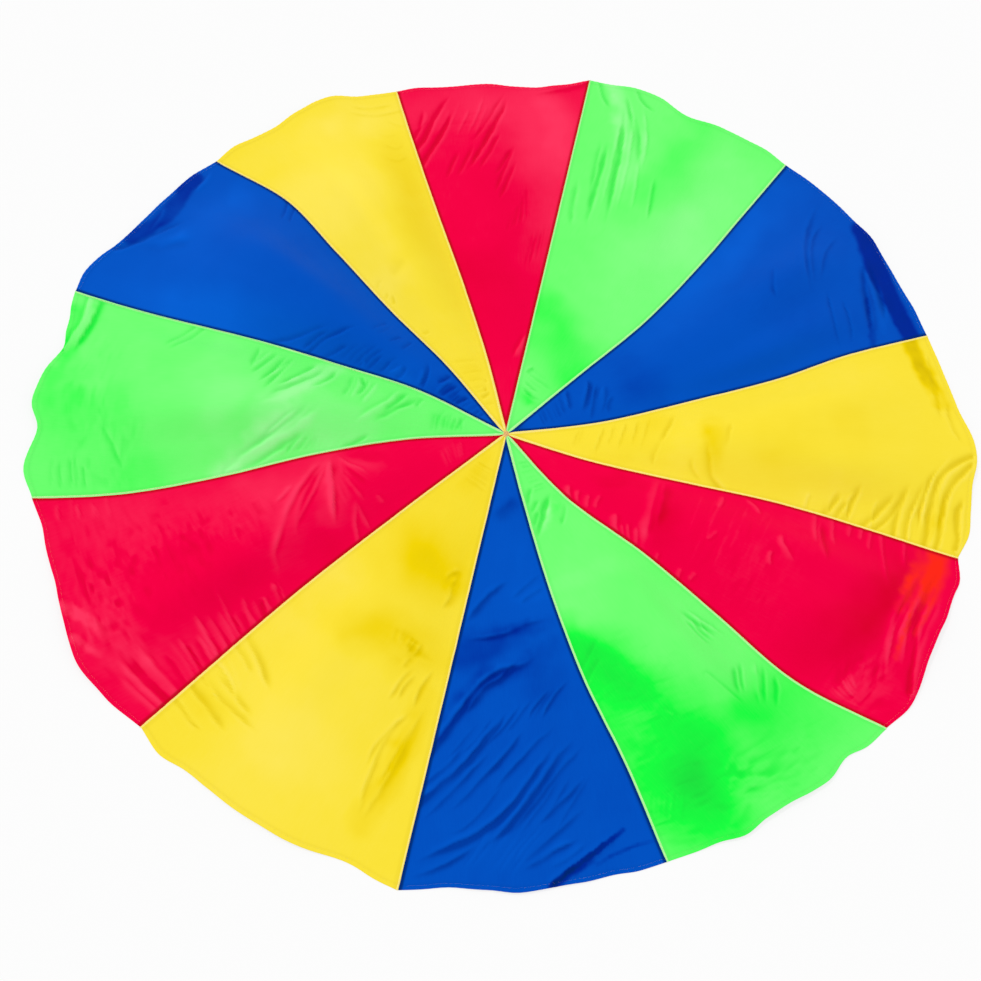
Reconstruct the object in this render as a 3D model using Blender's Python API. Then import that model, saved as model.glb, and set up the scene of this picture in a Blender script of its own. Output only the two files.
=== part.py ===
"""Play parachute: twelve sewn gores spread on a floor, with a fold line across the middle.

The crown, where all seams meet, is at the origin, and +Z is up. Seam 2 runs along +Y and
seam 8 along -Y, and the seams are numbered clockwise as seen from above. The gore after
a seam has that seam's number. Gores 1 and 8 to 12 are the left half, which folds over the
right half about an axis along Y at the top of seams 2 and 8.
"""
import math
from typing import NamedTuple

import bmesh
import bpy
from mathutils import Vector

# Driving sizes, in metres
CANOPY_RADIUS = 1.80  # crown to rim, the nominal cut of a gore
CLOTH_THICKNESS = 0.0015  # stands in for a thin taffeta
SEAM_WIDTH = 0.006  # the overlocked thread that joins two gores
SEAM_RISE = 0.0008  # how far that thread stands above the cloth
SEAM_CLEARANCE = 0.0005  # between the thread and the cloth beside it
TIP_WIDTH = 0.003  # the narrowest a gore gets, at the crown
HEM_WIDTH = 0.018  # the turned rim
HEM_RISE = 0.0008  # the extra layers of the turned rim
HEM_STEP = 0.002  # how gently the hem rises from the cloth
HEM_THREAD_WIDTH = 0.002
HEM_THREAD_THICKNESS = 0.0008
HEM_THREAD_INSET = 0.005  # from the hem's inner edge to the middle of its thread
HEM_THREAD_LIFT = 0.0003  # clearance under the thread
HEM_THREAD_STOP = 0.016  # the thread's end to the fold line

# How finely the cloth is divided
ROWS = 12
COLUMNS = 10
CROWN_SIDES = 24

# Form of the cloth, in shares of the canopy's radius unless a name says otherwise
BILLOW_LEAN = 1.4  # above 1 the billow peaks nearer the rim
BILLOW_FULLNESS = 1.5  # below 2 the pillow is fuller across a gore
RIM_RISE_START_SHARE = 0.6

CLOTH_ROUGHNESS = 0.45
THREAD_ROUGHNESS = 0.7
COLLECTION = "Play parachute"
RED = "#F30745"
GREEN = "#4BFB66"
BLUE = "#0351BF"
YELLOW = "#F9E13C"
THREAD = "#EFE7CF"


class Seam(NamedTuple):
    """One radial seam as it lies on the floor."""

    drift_deg: float  # turn from its even place, counter-clockwise
    length_share: float
    bow_shares: tuple  # sideways, counter-clockwise, at even steps from crown to rim
    lift_share: float  # off the floor at the middle


class Fold(NamedTuple):
    """One main fold that runs along a gore, in shares of the gore except its height."""

    across_share: float
    start_share: float
    end_share: float
    half_width_share: float
    height_share: float


class Gore(NamedTuple):
    """One gore between its own seam and the next one clockwise."""

    colour_name: str
    colour: str
    loft_share: float  # height of the air trapped under it
    rim_rise_share: float  # height of the rim's middle off the floor
    rim_shares: tuple  # rim outside the straight line between the seam ends
    folds: tuple


# Seams 2 and 8 are the fold line, so they lie straight and flat
SEAMS = (
    Seam(-2.7, 1.017, (-0.010, -0.009, -0.003, 0.000), 0.007),
    Seam(0.0, 1.095, (0.0, 0.0, 0.0, 0.0), 0.0),
    Seam(1.2, 1.094, (-0.018, -0.038, -0.034, -0.017), 0.008),
    Seam(0.0, 1.048, (-0.030, -0.035, -0.031, -0.006), 0.017),
    Seam(-2.6, 0.996, (-0.012, -0.008, 0.004, 0.006), 0.019),
    Seam(1.8, 0.976, (-0.036, -0.033, -0.041, -0.046), 0.017),
    Seam(0.0, 0.939, (-0.018, -0.030, -0.029, -0.009), 0.007),
    Seam(0.0, 0.972, (0.0, 0.0, 0.0, 0.0), 0.0),
    Seam(-3.6, 0.956, (-0.005, -0.007, -0.009, -0.006), 0.017),
    Seam(-6.0, 0.978, (-0.014, 0.000, 0.022, 0.024), 0.031),
    Seam(-6.0, 0.999, (-0.026, -0.014, -0.006, 0.000), 0.033),
    Seam(-4.2, 0.988, (-0.019, -0.017, -0.031, -0.047), 0.025),
)
FOLD_SEAMS = (1, 7)  # places of seams 2 and 8 in the list

GORES = (
    Gore("red", RED, 0.011, 0.000, (0.001, 0.002, 0.004, -0.006, -0.012), (
        Fold(0.45, 0.55, 1.0, 0.20, 0.004),)),
    Gore("green", GREEN, 0.007, 0.004, (0.034, 0.040, 0.016, 0.028, 0.027), (
        Fold(0.60, 0.45, 1.0, 0.20, 0.004),)),
    Gore("blue", BLUE, 0.030, 0.014, (0.030, 0.051, 0.059, 0.043, 0.024), (
        Fold(0.45, 0.55, 1.0, 0.20, 0.012),
        Fold(0.80, 0.35, 1.0, 0.15, 0.008))),
    Gore("yellow", YELLOW, 0.038, 0.012, (0.020, 0.048, 0.074, 0.062, 0.038), (
        Fold(0.25, 0.50, 1.0, 0.20, 0.010),
        Fold(0.70, 0.55, 1.0, 0.20, 0.013))),
    Gore("red", RED, 0.032, 0.014, (0.026, 0.040, 0.040, 0.033, 0.030), (
        Fold(0.30, 0.50, 1.0, 0.20, 0.012),
        Fold(0.65, 0.60, 1.0, 0.20, 0.009))),
    Gore("green", GREEN, 0.022, 0.008, (0.010, 0.024, 0.030, 0.026, 0.016), (
        Fold(0.35, 0.35, 1.0, 0.20, 0.008),)),
    Gore("blue", BLUE, 0.006, 0.003, (0.008, 0.018, 0.026, 0.014, 0.002), (
        Fold(0.40, 0.45, 1.0, 0.20, 0.004),)),
    Gore("yellow", YELLOW, 0.011, 0.004, (0.006, 0.028, 0.042, 0.034, 0.026), (
        Fold(0.65, 0.45, 1.0, 0.20, 0.005),)),
    Gore("red", RED, 0.033, 0.010, (0.033, 0.056, 0.049, 0.028, 0.005), (
        Fold(0.35, 0.45, 1.0, 0.20, 0.010),)),
    Gore("green", GREEN, 0.046, 0.014, (0.030, 0.027, 0.044, 0.022, -0.002), (
        Fold(0.40, 0.40, 1.0, 0.20, 0.010),
        Fold(0.80, 0.55, 1.0, 0.15, 0.012))),
    Gore("blue", BLUE, 0.046, 0.010, (0.018, 0.015, 0.012, 0.015, 0.014), (
        Fold(0.60, 0.40, 1.0, 0.20, 0.010),)),
    Gore("yellow", YELLOW, 0.036, 0.008, (0.008, 0.020, 0.052, 0.055, 0.032), (
        Fold(0.40, 0.45, 1.0, 0.20, 0.008),)),
)
RIGHT_GORES = (1, 2, 3, 4, 5, 6)  # places of gores 2 to 7 in the list
LEFT_GORES = (7, 8, 9, 10, 11, 0)

STITCHED_TOP = CLOTH_THICKNESS + max(SEAM_RISE, HEM_RISE)
FOLD_AXIS = Vector((-(SEAM_WIDTH + SEAM_CLEARANCE) / 2, 0.0, STITCHED_TOP))
HEM_SHARE = HEM_WIDTH / CANOPY_RADIUS
STEP_SHARE = HEM_STEP / CANOPY_RADIUS
HEM_THREAD_SHARE = 1 - HEM_SHARE + HEM_THREAD_INSET / CANOPY_RADIUS


def linear_colour(text):
    """The linear RGBA of an sRGB hex colour."""
    values = [int(text[i:i + 2], 16) / 255 for i in (1, 3, 5)]
    return [v / 12.92 if v <= 0.04045 else ((v + 0.055) / 1.055) ** 2.4 for v in values] + [1.0]


def cloth_material(name, colour, roughness):
    """A plain Principled material, made once for each name."""
    material = bpy.data.materials.get(name) or bpy.data.materials.new(name)
    material.use_nodes = True
    shader = material.node_tree.nodes["Principled BSDF"]
    shader.inputs["Base Color"].default_value = linear_colour(colour)
    shader.inputs["Roughness"].default_value = roughness
    shader.inputs["Metallic"].default_value = 0.0
    return material


def bell(share):
    """A smooth hump over 0 to 1, flat at both ends."""
    return math.sin(math.pi * min(max(share, 0.0), 1.0)) ** 2


def eased(share):
    """A smooth step from 0 to 1."""
    share = min(max(share, 0.0), 1.0)
    return share * share * (3 - 2 * share)


def smooth_through(values, share):
    """A smooth curve through values at even steps, zero at both ends."""
    points = (0.0,) + tuple(values) + (0.0,)
    place = min(max(share, 0.0), 1.0) * (len(points) - 1)
    i = min(int(place), len(points) - 2)
    u = place - i
    before = points[i - 1] if i > 0 else 2 * points[0] - points[1]
    after = points[i + 2] if i + 2 < len(points) else 2 * points[-1] - points[-2]
    a, b = points[i], points[i + 1]
    slope_a, slope_b = (b - before) / 2, (after - a) / 2
    return (a + slope_a * u + (3 * (b - a) - 2 * slope_a - slope_b) * u ** 2
            + (2 * (a - b) + slope_a + slope_b) * u ** 3)


def seam_angle(index):
    """The direction of a seam's rim end, in radians from +X."""
    even = 90 - 360 / len(SEAMS) * (index - FOLD_SEAMS[0])
    return math.radians(even + SEAMS[index].drift_deg)


def seam_centre(index, share):
    """A point of a seam's middle line on the floor plan, lifted as the cloth is."""
    seam = SEAMS[index]
    angle = seam_angle(index)
    along = Vector((math.cos(angle), math.sin(angle), 0.0))
    aside = Vector((-along.y, along.x, 0.0))
    point = along * share * seam.length_share * CANOPY_RADIUS
    point += aside * smooth_through(seam.bow_shares, share) * CANOPY_RADIUS
    point.z = bell(share) * seam.lift_share * CANOPY_RADIUS
    return point


def seam_side(index, share, offset):
    """A point beside a seam's middle line, with a positive offset counter-clockwise."""
    nudge = 1 / (ROWS * ROWS)
    run = seam_centre(index, share + nudge) - seam_centre(index, max(share - nudge, 0.0))
    aside = Vector((-run.y, run.x, 0.0)).normalized()
    return seam_centre(index, share) + aside * offset


def narrowest_angle():
    """The least angle between two neighbouring seams where they leave the crown."""
    nudge = 1 / ROWS ** 3
    runs = [seam_centre(i, nudge) for i in range(len(SEAMS))]
    headings = [math.atan2(run.y, run.x) for run in runs]
    return min((headings[i - 1] - headings[i]) % (2 * math.pi) for i in range(len(SEAMS)))


def radius_that_fits(width):
    """The distance from the crown's centre at which seams leave this width between them."""
    return width / (2 * math.sin(narrowest_angle() / 2))


CROWN_RADIUS = radius_that_fits(SEAM_WIDTH + 2 * SEAM_CLEARANCE) + SEAM_CLEARANCE
TIP_RADIUS = radius_that_fits(SEAM_WIDTH + 2 * SEAM_CLEARANCE + TIP_WIDTH) + 2 * SEAM_CLEARANCE


def row_shares():
    """How far down a gore each row of its grid lies, with the hem's step as two rows."""
    last = 1 - HEM_SHARE - STEP_SHARE
    return [last * i / (ROWS - 2) for i in range(ROWS - 1)] + [1 - HEM_SHARE, 1.0]


def seam_share(index, row_share):
    """The place on a seam of a row of the grid, which starts at the gores' tips."""
    start = TIP_RADIUS / (SEAMS[index].length_share * CANOPY_RADIUS)
    return start + (1 - start) * row_share


def gore_height(index, row_share, across):
    """How high the cloth lies off the floor, above the height of its two seams."""
    gore = GORES[index]
    pillow = gore.loft_share * bell(row_share ** BILLOW_LEAN)
    pillow *= math.sin(math.pi * min(max(across, 0.0), 1.0)) ** BILLOW_FULLNESS
    rise_run = (row_share - RIM_RISE_START_SHARE) / (1 - RIM_RISE_START_SHARE)
    rim = gore.rim_rise_share * eased(rise_run) * bell(across)
    folds = 0.0
    for fold in gore.folds:
        along = (row_share - fold.start_share) / (fold.end_share - fold.start_share)
        aside = (across - fold.across_share) / (2 * fold.half_width_share) + 1 / 2
        folds += fold.height_share * bell(along) * bell(aside)
    return (pillow + rim + folds) * CANOPY_RADIUS


def gore_point(index, row_share, across):
    """A point of a gore's lower face, with across running clockwise from its own seam."""
    following = (index + 1) % len(SEAMS)
    offset = SEAM_WIDTH / 2 + SEAM_CLEARANCE
    first = seam_side(index, seam_share(index, row_share), -offset)
    second = seam_side(following, seam_share(following, row_share), offset)
    point = first.lerp(second, across)
    chord = seam_centre(following, 1.0) - seam_centre(index, 1.0)
    outward = Vector((-chord.y, chord.x, 0.0)).normalized()
    bulge = smooth_through(GORES[index].rim_shares, across) * row_share ** len(GORES[index].rim_shares)
    point += outward * bulge * CANOPY_RADIUS
    point.z += gore_height(index, row_share, across)
    return point


def sheet_object(name, place, thickness, columns, rows, material, parent):
    """A closed sheet over a grid: place(i, j) is its lower face and thickness(j) its depth."""
    sheet = bmesh.new()
    bmesh.ops.create_grid(sheet, x_segments=columns, y_segments=rows, size=1)
    raised = bmesh.ops.extrude_face_region(sheet, geom=sheet.faces[:])["geom"]
    upper = {vert for vert in raised if isinstance(vert, bmesh.types.BMVert)}
    for vert in sheet.verts:
        i = round((vert.co.x + 1) / 2 * columns)
        j = round((vert.co.y + 1) / 2 * rows)
        depth = thickness(j) if vert in upper else 0.0
        vert.co = place(i, j) + Vector((0.0, 0.0, depth))
    bmesh.ops.recalc_face_normals(sheet, faces=sheet.faces[:])
    if parent:
        bmesh.ops.translate(sheet, verts=sheet.verts[:], vec=-parent.location)
    return linked_object(name, sheet, material, parent)


def linked_object(name, shape, material, parent=None):
    """The object of a finished shape, with its material, in the canopy's collection."""
    mesh = bpy.data.meshes.new(name)
    shape.to_mesh(mesh)
    shape.free()
    mesh.materials.append(material)
    made = bpy.data.objects.new(name, mesh)
    made.parent = parent
    bpy.data.collections[COLLECTION].objects.link(made)
    return made


def add_gore(index, parent):
    """One gore of cloth, with its thicker turned hem at the rim."""
    gore = GORES[index]
    shares = row_shares()

    def place(i, j):
        return gore_point(index, shares[j], i / COLUMNS)

    def thickness(j):
        return CLOTH_THICKNESS + (HEM_RISE if j >= ROWS - 1 else 0.0)

    material = cloth_material(f"{gore.colour_name} taffeta", gore.colour, CLOTH_ROUGHNESS)
    name = f"gore_{index + 1:02d}_{gore.colour_name}"
    return sheet_object(name, place, thickness, COLUMNS, ROWS, material, parent)


def add_seam_thread(index, parent):
    """The overlocked thread between two gores, from the crown to the rim."""
    start = CROWN_RADIUS / (SEAMS[index].length_share * CANOPY_RADIUS)
    shares = [start] + [seam_share(index, row_share) for row_share in row_shares()]

    def place(i, j):
        return seam_side(index, shares[j], (1 - 2 * i) * SEAM_WIDTH / 2)

    def thickness(_):
        return CLOTH_THICKNESS + SEAM_RISE

    material = cloth_material("overlock thread", THREAD, THREAD_ROUGHNESS)
    return sheet_object(f"seam_thread_{index + 1:02d}", place, thickness, 1, ROWS + 1, material, parent)


def hem_places(gores):
    """The gore and the place across it of each step of a hem thread, clear of the fold line."""
    places = [(g, i / COLUMNS) for g in gores for i in range(COLUMNS + 1)]
    ends = []
    for gore in (gores[0], gores[-1]):
        chord = seam_centre((gore + 1) % len(SEAMS), 1.0) - seam_centre(gore, 1.0)
        ends.append(HEM_THREAD_STOP / abs(chord.x))
    return [(gores[0], ends[0])] + places[1:-1] + [(gores[-1], 1 - ends[1])]


def add_hem_thread(side, gores, parent):
    """The line of stitches that holds the turned hem of one half."""
    places = hem_places(gores)

    def place(i, j):
        gore, across = places[i]
        shift = (j - 1 / 2) * HEM_THREAD_WIDTH / CANOPY_RADIUS
        point = gore_point(gore, HEM_THREAD_SHARE + shift, across)
        return point + Vector((0.0, 0.0, STITCHED_TOP + HEM_THREAD_LIFT))

    def thickness(_):
        return HEM_THREAD_THICKNESS

    material = cloth_material("hem thread", THREAD, THREAD_ROUGHNESS)
    return sheet_object(f"hem_thread_{side}", place, thickness, len(places) - 1, 1, material, parent)


def add_crown_tack():
    """The flat tack of thread that gathers all seams at the crown."""
    tack = bmesh.new()
    depth = CLOTH_THICKNESS + SEAM_RISE
    bmesh.ops.create_cone(tack, cap_ends=True, segments=CROWN_SIDES, radius1=CROWN_RADIUS - SEAM_CLEARANCE,
                          radius2=CROWN_RADIUS - SEAM_CLEARANCE, depth=depth)
    bmesh.ops.translate(tack, verts=tack.verts[:], vec=(0.0, 0.0, depth / 2))
    return linked_object("crown_tack", tack, cloth_material("overlock thread", THREAD, THREAD_ROUGHNESS))


def main():
    """Build the canopy, its left half under an empty on the fold line."""
    for old in list(bpy.context.scene.objects):
        bpy.data.objects.remove(old, do_unlink=True)
    canopy = bpy.data.collections.new(COLLECTION)
    bpy.context.scene.collection.children.link(canopy)
    fold = bpy.data.objects.new("fold_line", None)
    fold.location = FOLD_AXIS
    canopy.objects.link(fold)
    add_crown_tack()
    for index in range(len(GORES)):
        add_gore(index, fold if index in LEFT_GORES else None)
        add_seam_thread(index, fold if index in LEFT_GORES and index not in FOLD_SEAMS else None)
    add_hem_thread("right", RIGHT_GORES, None)
    add_hem_thread("left", LEFT_GORES, fold)


main()
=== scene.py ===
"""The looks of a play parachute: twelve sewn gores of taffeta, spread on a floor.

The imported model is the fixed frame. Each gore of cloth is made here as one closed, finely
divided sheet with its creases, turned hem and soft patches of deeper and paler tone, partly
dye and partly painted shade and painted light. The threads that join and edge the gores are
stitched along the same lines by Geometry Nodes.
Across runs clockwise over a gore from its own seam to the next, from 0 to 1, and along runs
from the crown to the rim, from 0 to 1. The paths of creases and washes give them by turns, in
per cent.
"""

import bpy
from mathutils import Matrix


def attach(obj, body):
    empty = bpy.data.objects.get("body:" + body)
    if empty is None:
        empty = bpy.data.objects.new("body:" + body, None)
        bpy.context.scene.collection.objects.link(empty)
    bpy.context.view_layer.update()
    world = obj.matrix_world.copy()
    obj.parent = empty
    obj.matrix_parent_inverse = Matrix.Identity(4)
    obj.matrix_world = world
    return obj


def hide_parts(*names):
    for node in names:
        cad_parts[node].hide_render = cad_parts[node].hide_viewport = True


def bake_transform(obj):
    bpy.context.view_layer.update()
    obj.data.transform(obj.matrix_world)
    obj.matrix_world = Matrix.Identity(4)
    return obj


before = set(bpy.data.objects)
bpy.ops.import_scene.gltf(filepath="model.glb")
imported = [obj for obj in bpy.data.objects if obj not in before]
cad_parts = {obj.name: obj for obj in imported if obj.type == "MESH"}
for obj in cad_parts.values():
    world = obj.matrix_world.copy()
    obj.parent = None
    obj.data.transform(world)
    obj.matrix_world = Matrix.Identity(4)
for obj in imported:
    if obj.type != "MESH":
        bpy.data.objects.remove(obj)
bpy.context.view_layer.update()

import logging
import math
from dataclasses import dataclass
from enum import Enum
from typing import Any, Optional, Sequence

import bmesh
import bpy
import numpy as np
from mathutils import Matrix, Vector

LOG = logging.getLogger("play_parachute")
MM = 0.001
IMAGE_SIDE = 981
# A wave texture of scale 1 has about 3.2 bands in a metre.
WAVE_BANDS = 3.2
UP = np.array([0.0, 0.0, 1.0])
Place = tuple[float, float]
Percents = tuple[float, ...]
Tree = bpy.types.NodeTree
Socket = bpy.types.NodeSocket
Array = np.ndarray


def linear(text: str) -> tuple[float, float, float, float]:
    """Turn an sRGB hex colour to linear.

    Args:
        text: The colour, such as "#F30745".

    Returns:
        Linear red, green, blue and an alpha of 1.
    """
    values = [int(text[i:i + 2], 16) / 255 for i in (1, 3, 5)]
    red, green, blue = (v / 12.92 if v <= 0.04045 else ((v + 0.055) / 1.055) ** 2.4 for v in values)
    return red, green, blue, 1.0


def fill_sockets(node: bpy.types.Node, **links: Any) -> None:
    """Link or set a node's inputs.

    Args:
        node: The node.
        links: Inputs by name, with spaces as underscores, or by number after "input_". Each is
            given an output socket to link from, or a value.
    """
    for name, value in links.items():
        number = name.removeprefix("input_")
        socket = node.inputs[int(number) if number.isdigit() else name.replace("_", " ")]
        if isinstance(value, Socket):
            node.id_data.links.new(value, socket)
        else:
            socket.default_value = value


def add_node(tree: Tree, kind: str, settings: Optional[dict[str, Any]] = None,
             output: int | str = 0, **links: Any) -> Socket:
    """Add one node with its settings, values and links.

    Args:
        tree: The node tree that takes it.
        kind: The node's type name.
        settings: Properties of the node to set.
        output: The output that is wanted.
        links: What fill_sockets takes.

    Returns:
        The new node's output socket.
    """
    made = tree.nodes.new(kind)
    for name, value in (settings or {}).items():
        setattr(made, name, value)
    fill_sockets(made, **links)
    return made.outputs[output]


def reckon(tree: Tree, operation: str, *values: Any, clamped: bool = False) -> Socket:
    """Add a Math node on sockets or numbers."""
    inputs = {f"input_{k}": value for k, value in enumerate(values)}
    return add_node(tree, "ShaderNodeMath", {"operation": operation, "use_clamp": clamped}, **inputs)


def new_material(name: str) -> tuple[bpy.types.Material, bpy.types.Node]:
    """Start a material.

    Args:
        name: The real material's name.

    Returns:
        The material and its shader node.
    """
    made = bpy.data.materials.new(name)
    made.use_nodes = True
    return made, made.node_tree.nodes["Principled BSDF"]


def smooth_step(value: Array | float, low: float = 0.0, high: float = 1.0) -> Array:
    """Ease from 0 at low to 1 at high."""
    share = np.clip((np.asarray(value, float) - low) / (high - low), 0.0, 1.0)
    return share * share * (3 - 2 * share)


def bell(share: Array | float) -> Array:
    """Make a smooth hump over 0 to 1, flat at both ends."""
    return np.sin(np.pi * np.clip(share, 0.0, 1.0)) ** 2


def smooth_through(values: Sequence[float], share: Array | float,
                   closed: bool = True) -> Array:
    """Run a smooth curve through values at even steps.

    Args:
        values: The values, without the ends if closed.
        share: Where to read the curve, from 0 to 1.
        closed: Whether the curve starts and ends at zero.

    Returns:
        The curve's value at each share.
    """
    points = np.array(([0.0, *values, 0.0]) if closed else values, float)
    last = len(points) - 1
    place = np.clip(np.asarray(share, float), 0.0, 1.0) * last
    i = np.minimum(place.astype(int), last - 1)
    u = place - i
    padded = np.concatenate([[2 * points[0] - points[1]], points, [2 * points[-1] - points[-2]]])
    before, a, b, after = padded[i], padded[i + 1], padded[i + 2], padded[i + 3]
    slope_a, slope_b = (b - before) / 2, (after - a) / 2
    return (a + slope_a * u + (3 * (b - a) - 2 * slope_a - slope_b) * u ** 2
            + (2 * (a - b) + slope_a + slope_b) * u ** 3)


@dataclass(frozen=True)
class Taffeta:
    """A plain woven nylon taffeta, piece-dyed.

    Flat filament yarns give the eye a smooth, even colour with a faint satin sheen that
    keeps the dye's own colour. Its tone is painted a little paler where light comes through
    the cloth and deeper where it lies double or in a hollow, painted light and painted shade
    as much as dye, and a painted shade darkens it beside seams and in crease grooves.
    """

    name: str
    # deep and pale also serve as painted shade and painted light; shade is the painted shade's colour and
    # glow the painted glow's colour
    deep: str
    plain: str
    pale: str
    shade: str
    glow: str
    ditch_depth: float = 0.9
    # Real taffeta has a thread every 0.25 mm. It is drawn at 1.5 mm, or it would show nowhere.
    thread_pitch: float = 1.5 * MM
    slub_length: float = 60 * MM
    gloss_patch: float = 120 * MM
    roughness: float = 0.52
    sheen: float = 0.015

    @property
    def slot(self) -> str:
        """Name the record's slot for it."""
        return f"cloth_{self.name}"

    def material(self) -> bpy.types.Material:
        """Make the cloth's material, once.

        Returns:
            The material, which reads the piece's UV map in metres and its attributes: tone,
            with painted light and shade in it, painted glow and painted shade.
        """
        name = f"{self.name} nylon taffeta, woven and piece-dyed"
        if name in bpy.data.materials:
            return bpy.data.materials[name]
        made, shader = new_material(name)
        tree = made.node_tree
        fill_sockets(shader, Base_Color=self._dye(tree), Normal=self._weave(tree),
                     Roughness=self._satin(tree), IOR=1.53, Specular_IOR_Level=0.025,
                     Specular_Tint=linear(self.plain), Sheen_Weight=self.sheen, Sheen_Roughness=0.4,
                     Sheen_Tint=linear(self.pale))
        return made

    def _dye(self, tree: Tree) -> Socket:
        """Colour the cloth by its tone, which carries painted light and shade, with faint streaks
        along the yarns, and mix in the painted glow and the painted shade.

        Args:
            tree: The material's node tree.

        Returns:
            The colour socket.
        """
        tone, ditch, glow = (add_node(tree, "ShaderNodeAttribute", {"attribute_name": name}, "Fac")
                             for name in ("tone", "ditch", "glow"))
        flat = add_node(tree, "ShaderNodeUVMap", {"uv_map": "Flat cut"})
        stretched = add_node(tree, "ShaderNodeMapping", Vector=flat,
                             Scale=(1 / (4 * self.thread_pitch), 1 / self.slub_length, 1.0))
        streaks = add_node(tree, "ShaderNodeTexNoise", output="Fac", Vector=stretched, Scale=1.0,
                           Detail=2.0, Roughness=0.6)
        slubs = reckon(tree, "MULTIPLY_ADD", streaks, 0.10, -0.05)
        dyed = add_node(tree, "ShaderNodeValToRGB", Fac=reckon(tree, "ADD", tone, slubs, clamped=True))
        stops = dyed.node.color_ramp.elements
        stops[0].color = linear(self.deep)
        stops[1].color = linear(self.pale)
        stops.new(0.5).color = linear(self.plain)
        darkened = reckon(tree, "MULTIPLY", ditch, self.ditch_depth)
        # Mix in the painted glow of light, then the painted shade.
        for share, colour in ((glow, self.glow), (darkened, self.shade)):
            dyed = add_node(tree, "ShaderNodeMix", {"data_type": "RGBA"}, 2, input_0=share, input_6=dyed,
                            input_7=linear(colour))
        return dyed

    def _weave(self, tree: Tree) -> Socket:
        """Raise the plain weave of warp and weft.

        Args:
            tree: The material's node tree.

        Returns:
            The normal socket.
        """
        flat = add_node(tree, "ShaderNodeUVMap", {"uv_map": "Flat cut"})
        per_metre = 1 / (2 * self.thread_pitch)
        warp, weft = (add_node(tree, "ShaderNodeTexWave", {"bands_direction": way, "wave_profile": "SIN"},
                               "Fac", Vector=flat, Scale=per_metre / WAVE_BANDS, Distortion=0.4, Detail=1.0)
                      for way in ("X", "Y"))
        return add_node(tree, "ShaderNodeBump", Strength=0.10, Distance=0.2 * MM,
                        Height=reckon(tree, "MULTIPLY", warp, weft))

    def _satin(self, tree: Tree) -> Socket:
        """Vary the gloss a little, as calendered cloth does.

        Args:
            tree: The material's node tree.

        Returns:
            The roughness socket.
        """
        flat = add_node(tree, "ShaderNodeUVMap", {"uv_map": "Flat cut"})
        patches = add_node(tree, "ShaderNodeTexNoise", output="Fac", Vector=flat,
                           Scale=1 / self.gloss_patch, Detail=3.0)
        return add_node(tree, "ShaderNodeMapRange", Value=patches, To_Min=self.roughness - 0.05,
                        To_Max=self.roughness + 0.06)


@dataclass(frozen=True)
class SpunThread:
    """A twisted polyester sewing thread, undyed.

    Two plies twisted together give the eye a soft, matt cream line with fine slanting
    shadows.
    """

    name: str
    colour: str
    shadow: str
    twist_pitch: float = 1.2 * MM
    roughness: float = 0.72

    def material(self) -> bpy.types.Material:
        """Make the thread's material, once.

        Returns:
            The material, whose twist runs on the object's own coordinates.
        """
        if self.name in bpy.data.materials:
            return bpy.data.materials[self.name]
        made, shader = new_material(self.name)
        tree = made.node_tree
        place = add_node(tree, "ShaderNodeTexCoord", output="Object")
        twist = add_node(tree, "ShaderNodeTexWave", {"bands_direction": "DIAGONAL"}, "Fac", Vector=place,
                         Scale=1 / (WAVE_BANDS * self.twist_pitch), Distortion=1.5, Detail=1.0)
        spun = add_node(tree, "ShaderNodeValToRGB", Fac=twist)
        stops = spun.node.color_ramp.elements
        stops[0].color = linear(self.shadow)
        stops[1].color = linear(self.colour)
        stops[1].position = 0.45
        bump = add_node(tree, "ShaderNodeBump", Strength=0.4, Distance=0.1 * MM, Height=twist)
        fill_sockets(shader, Base_Color=spun, Normal=bump, Roughness=self.roughness, IOR=1.54,
                     Specular_IOR_Level=0.3)
        return made


class Dye(Enum):
    """The four dye lots of the gores."""

    # Each lot: deep, plain and pale tone, the painted shade's colour, the painted glow's colour and, for red,
    # how much painted shade is mixed in.
    RED = Taffeta("red", "#DE002E", "#F40044", "#FF345E", "#BC0A12", "#FF2818", 0.85)
    GREEN = Taffeta("green", "#18FC40", "#70FE72", "#9CFF9A", "#22B83C", "#B4FF78")
    BLUE = Taffeta("blue", "#01289A", "#0351C0", "#055ED2", "#02286E", "#1E50E0")
    YELLOW = Taffeta("yellow", "#F2D406", "#FAE23A", "#FFEA68", "#B89A00", "#FFE238")


# From the deepest to the palest.
PALE_ORDER = (Dye.BLUE, Dye.RED, Dye.GREEN, Dye.YELLOW)
OVERLOCK = SpunThread("cream polyester overlock thread, spun", "#FFF0C0", "#EBD898")
LOCKSTITCH = SpunThread("pale polyester hem thread, spun", "#CDBF90", "#9A8A5C")
GATHERED = SpunThread("soiled polyester thread ends, gathered", "#FFD08A", "#A86C2C")


class CreaseKind(Enum):
    """How high a crease stands and its half width, in metres."""

    HAIR = (1.7 * MM, 7 * MM)
    FINE = (2.8 * MM, 9 * MM)
    SHARP = (4.2 * MM, 12 * MM)
    PLEAT = (7.5 * MM, 17 * MM)
    SOFT = (6.0 * MM, 32 * MM)


@dataclass(frozen=True)
class Crease:
    """One crease in the cloth, along a smooth line through a few places on the gore."""

    kind: CreaseKind
    path: tuple[Place, ...]
    amount: float = 1.0


def places(path: Percents) -> tuple[Place, ...]:
    """Pair a path's numbers, across and along by turns in per cent, into places."""
    shares = [round(value / 100, 4) for value in path]
    return tuple(zip(shares[::2], shares[1::2]))


def ridges(kind: CreaseKind, amount: float, *paths: Percents) -> tuple[Crease, ...]:
    """Name creases that stand up, each steeper on the right of its path."""
    return tuple(Crease(kind, places(path), amount) for path in paths)


def grooves(kind: CreaseKind, amount: float, *paths: Percents) -> tuple[Crease, ...]:
    """Name creases that sink in, each steeper on the right of its path."""
    return ridges(kind, -amount, *paths)


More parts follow.
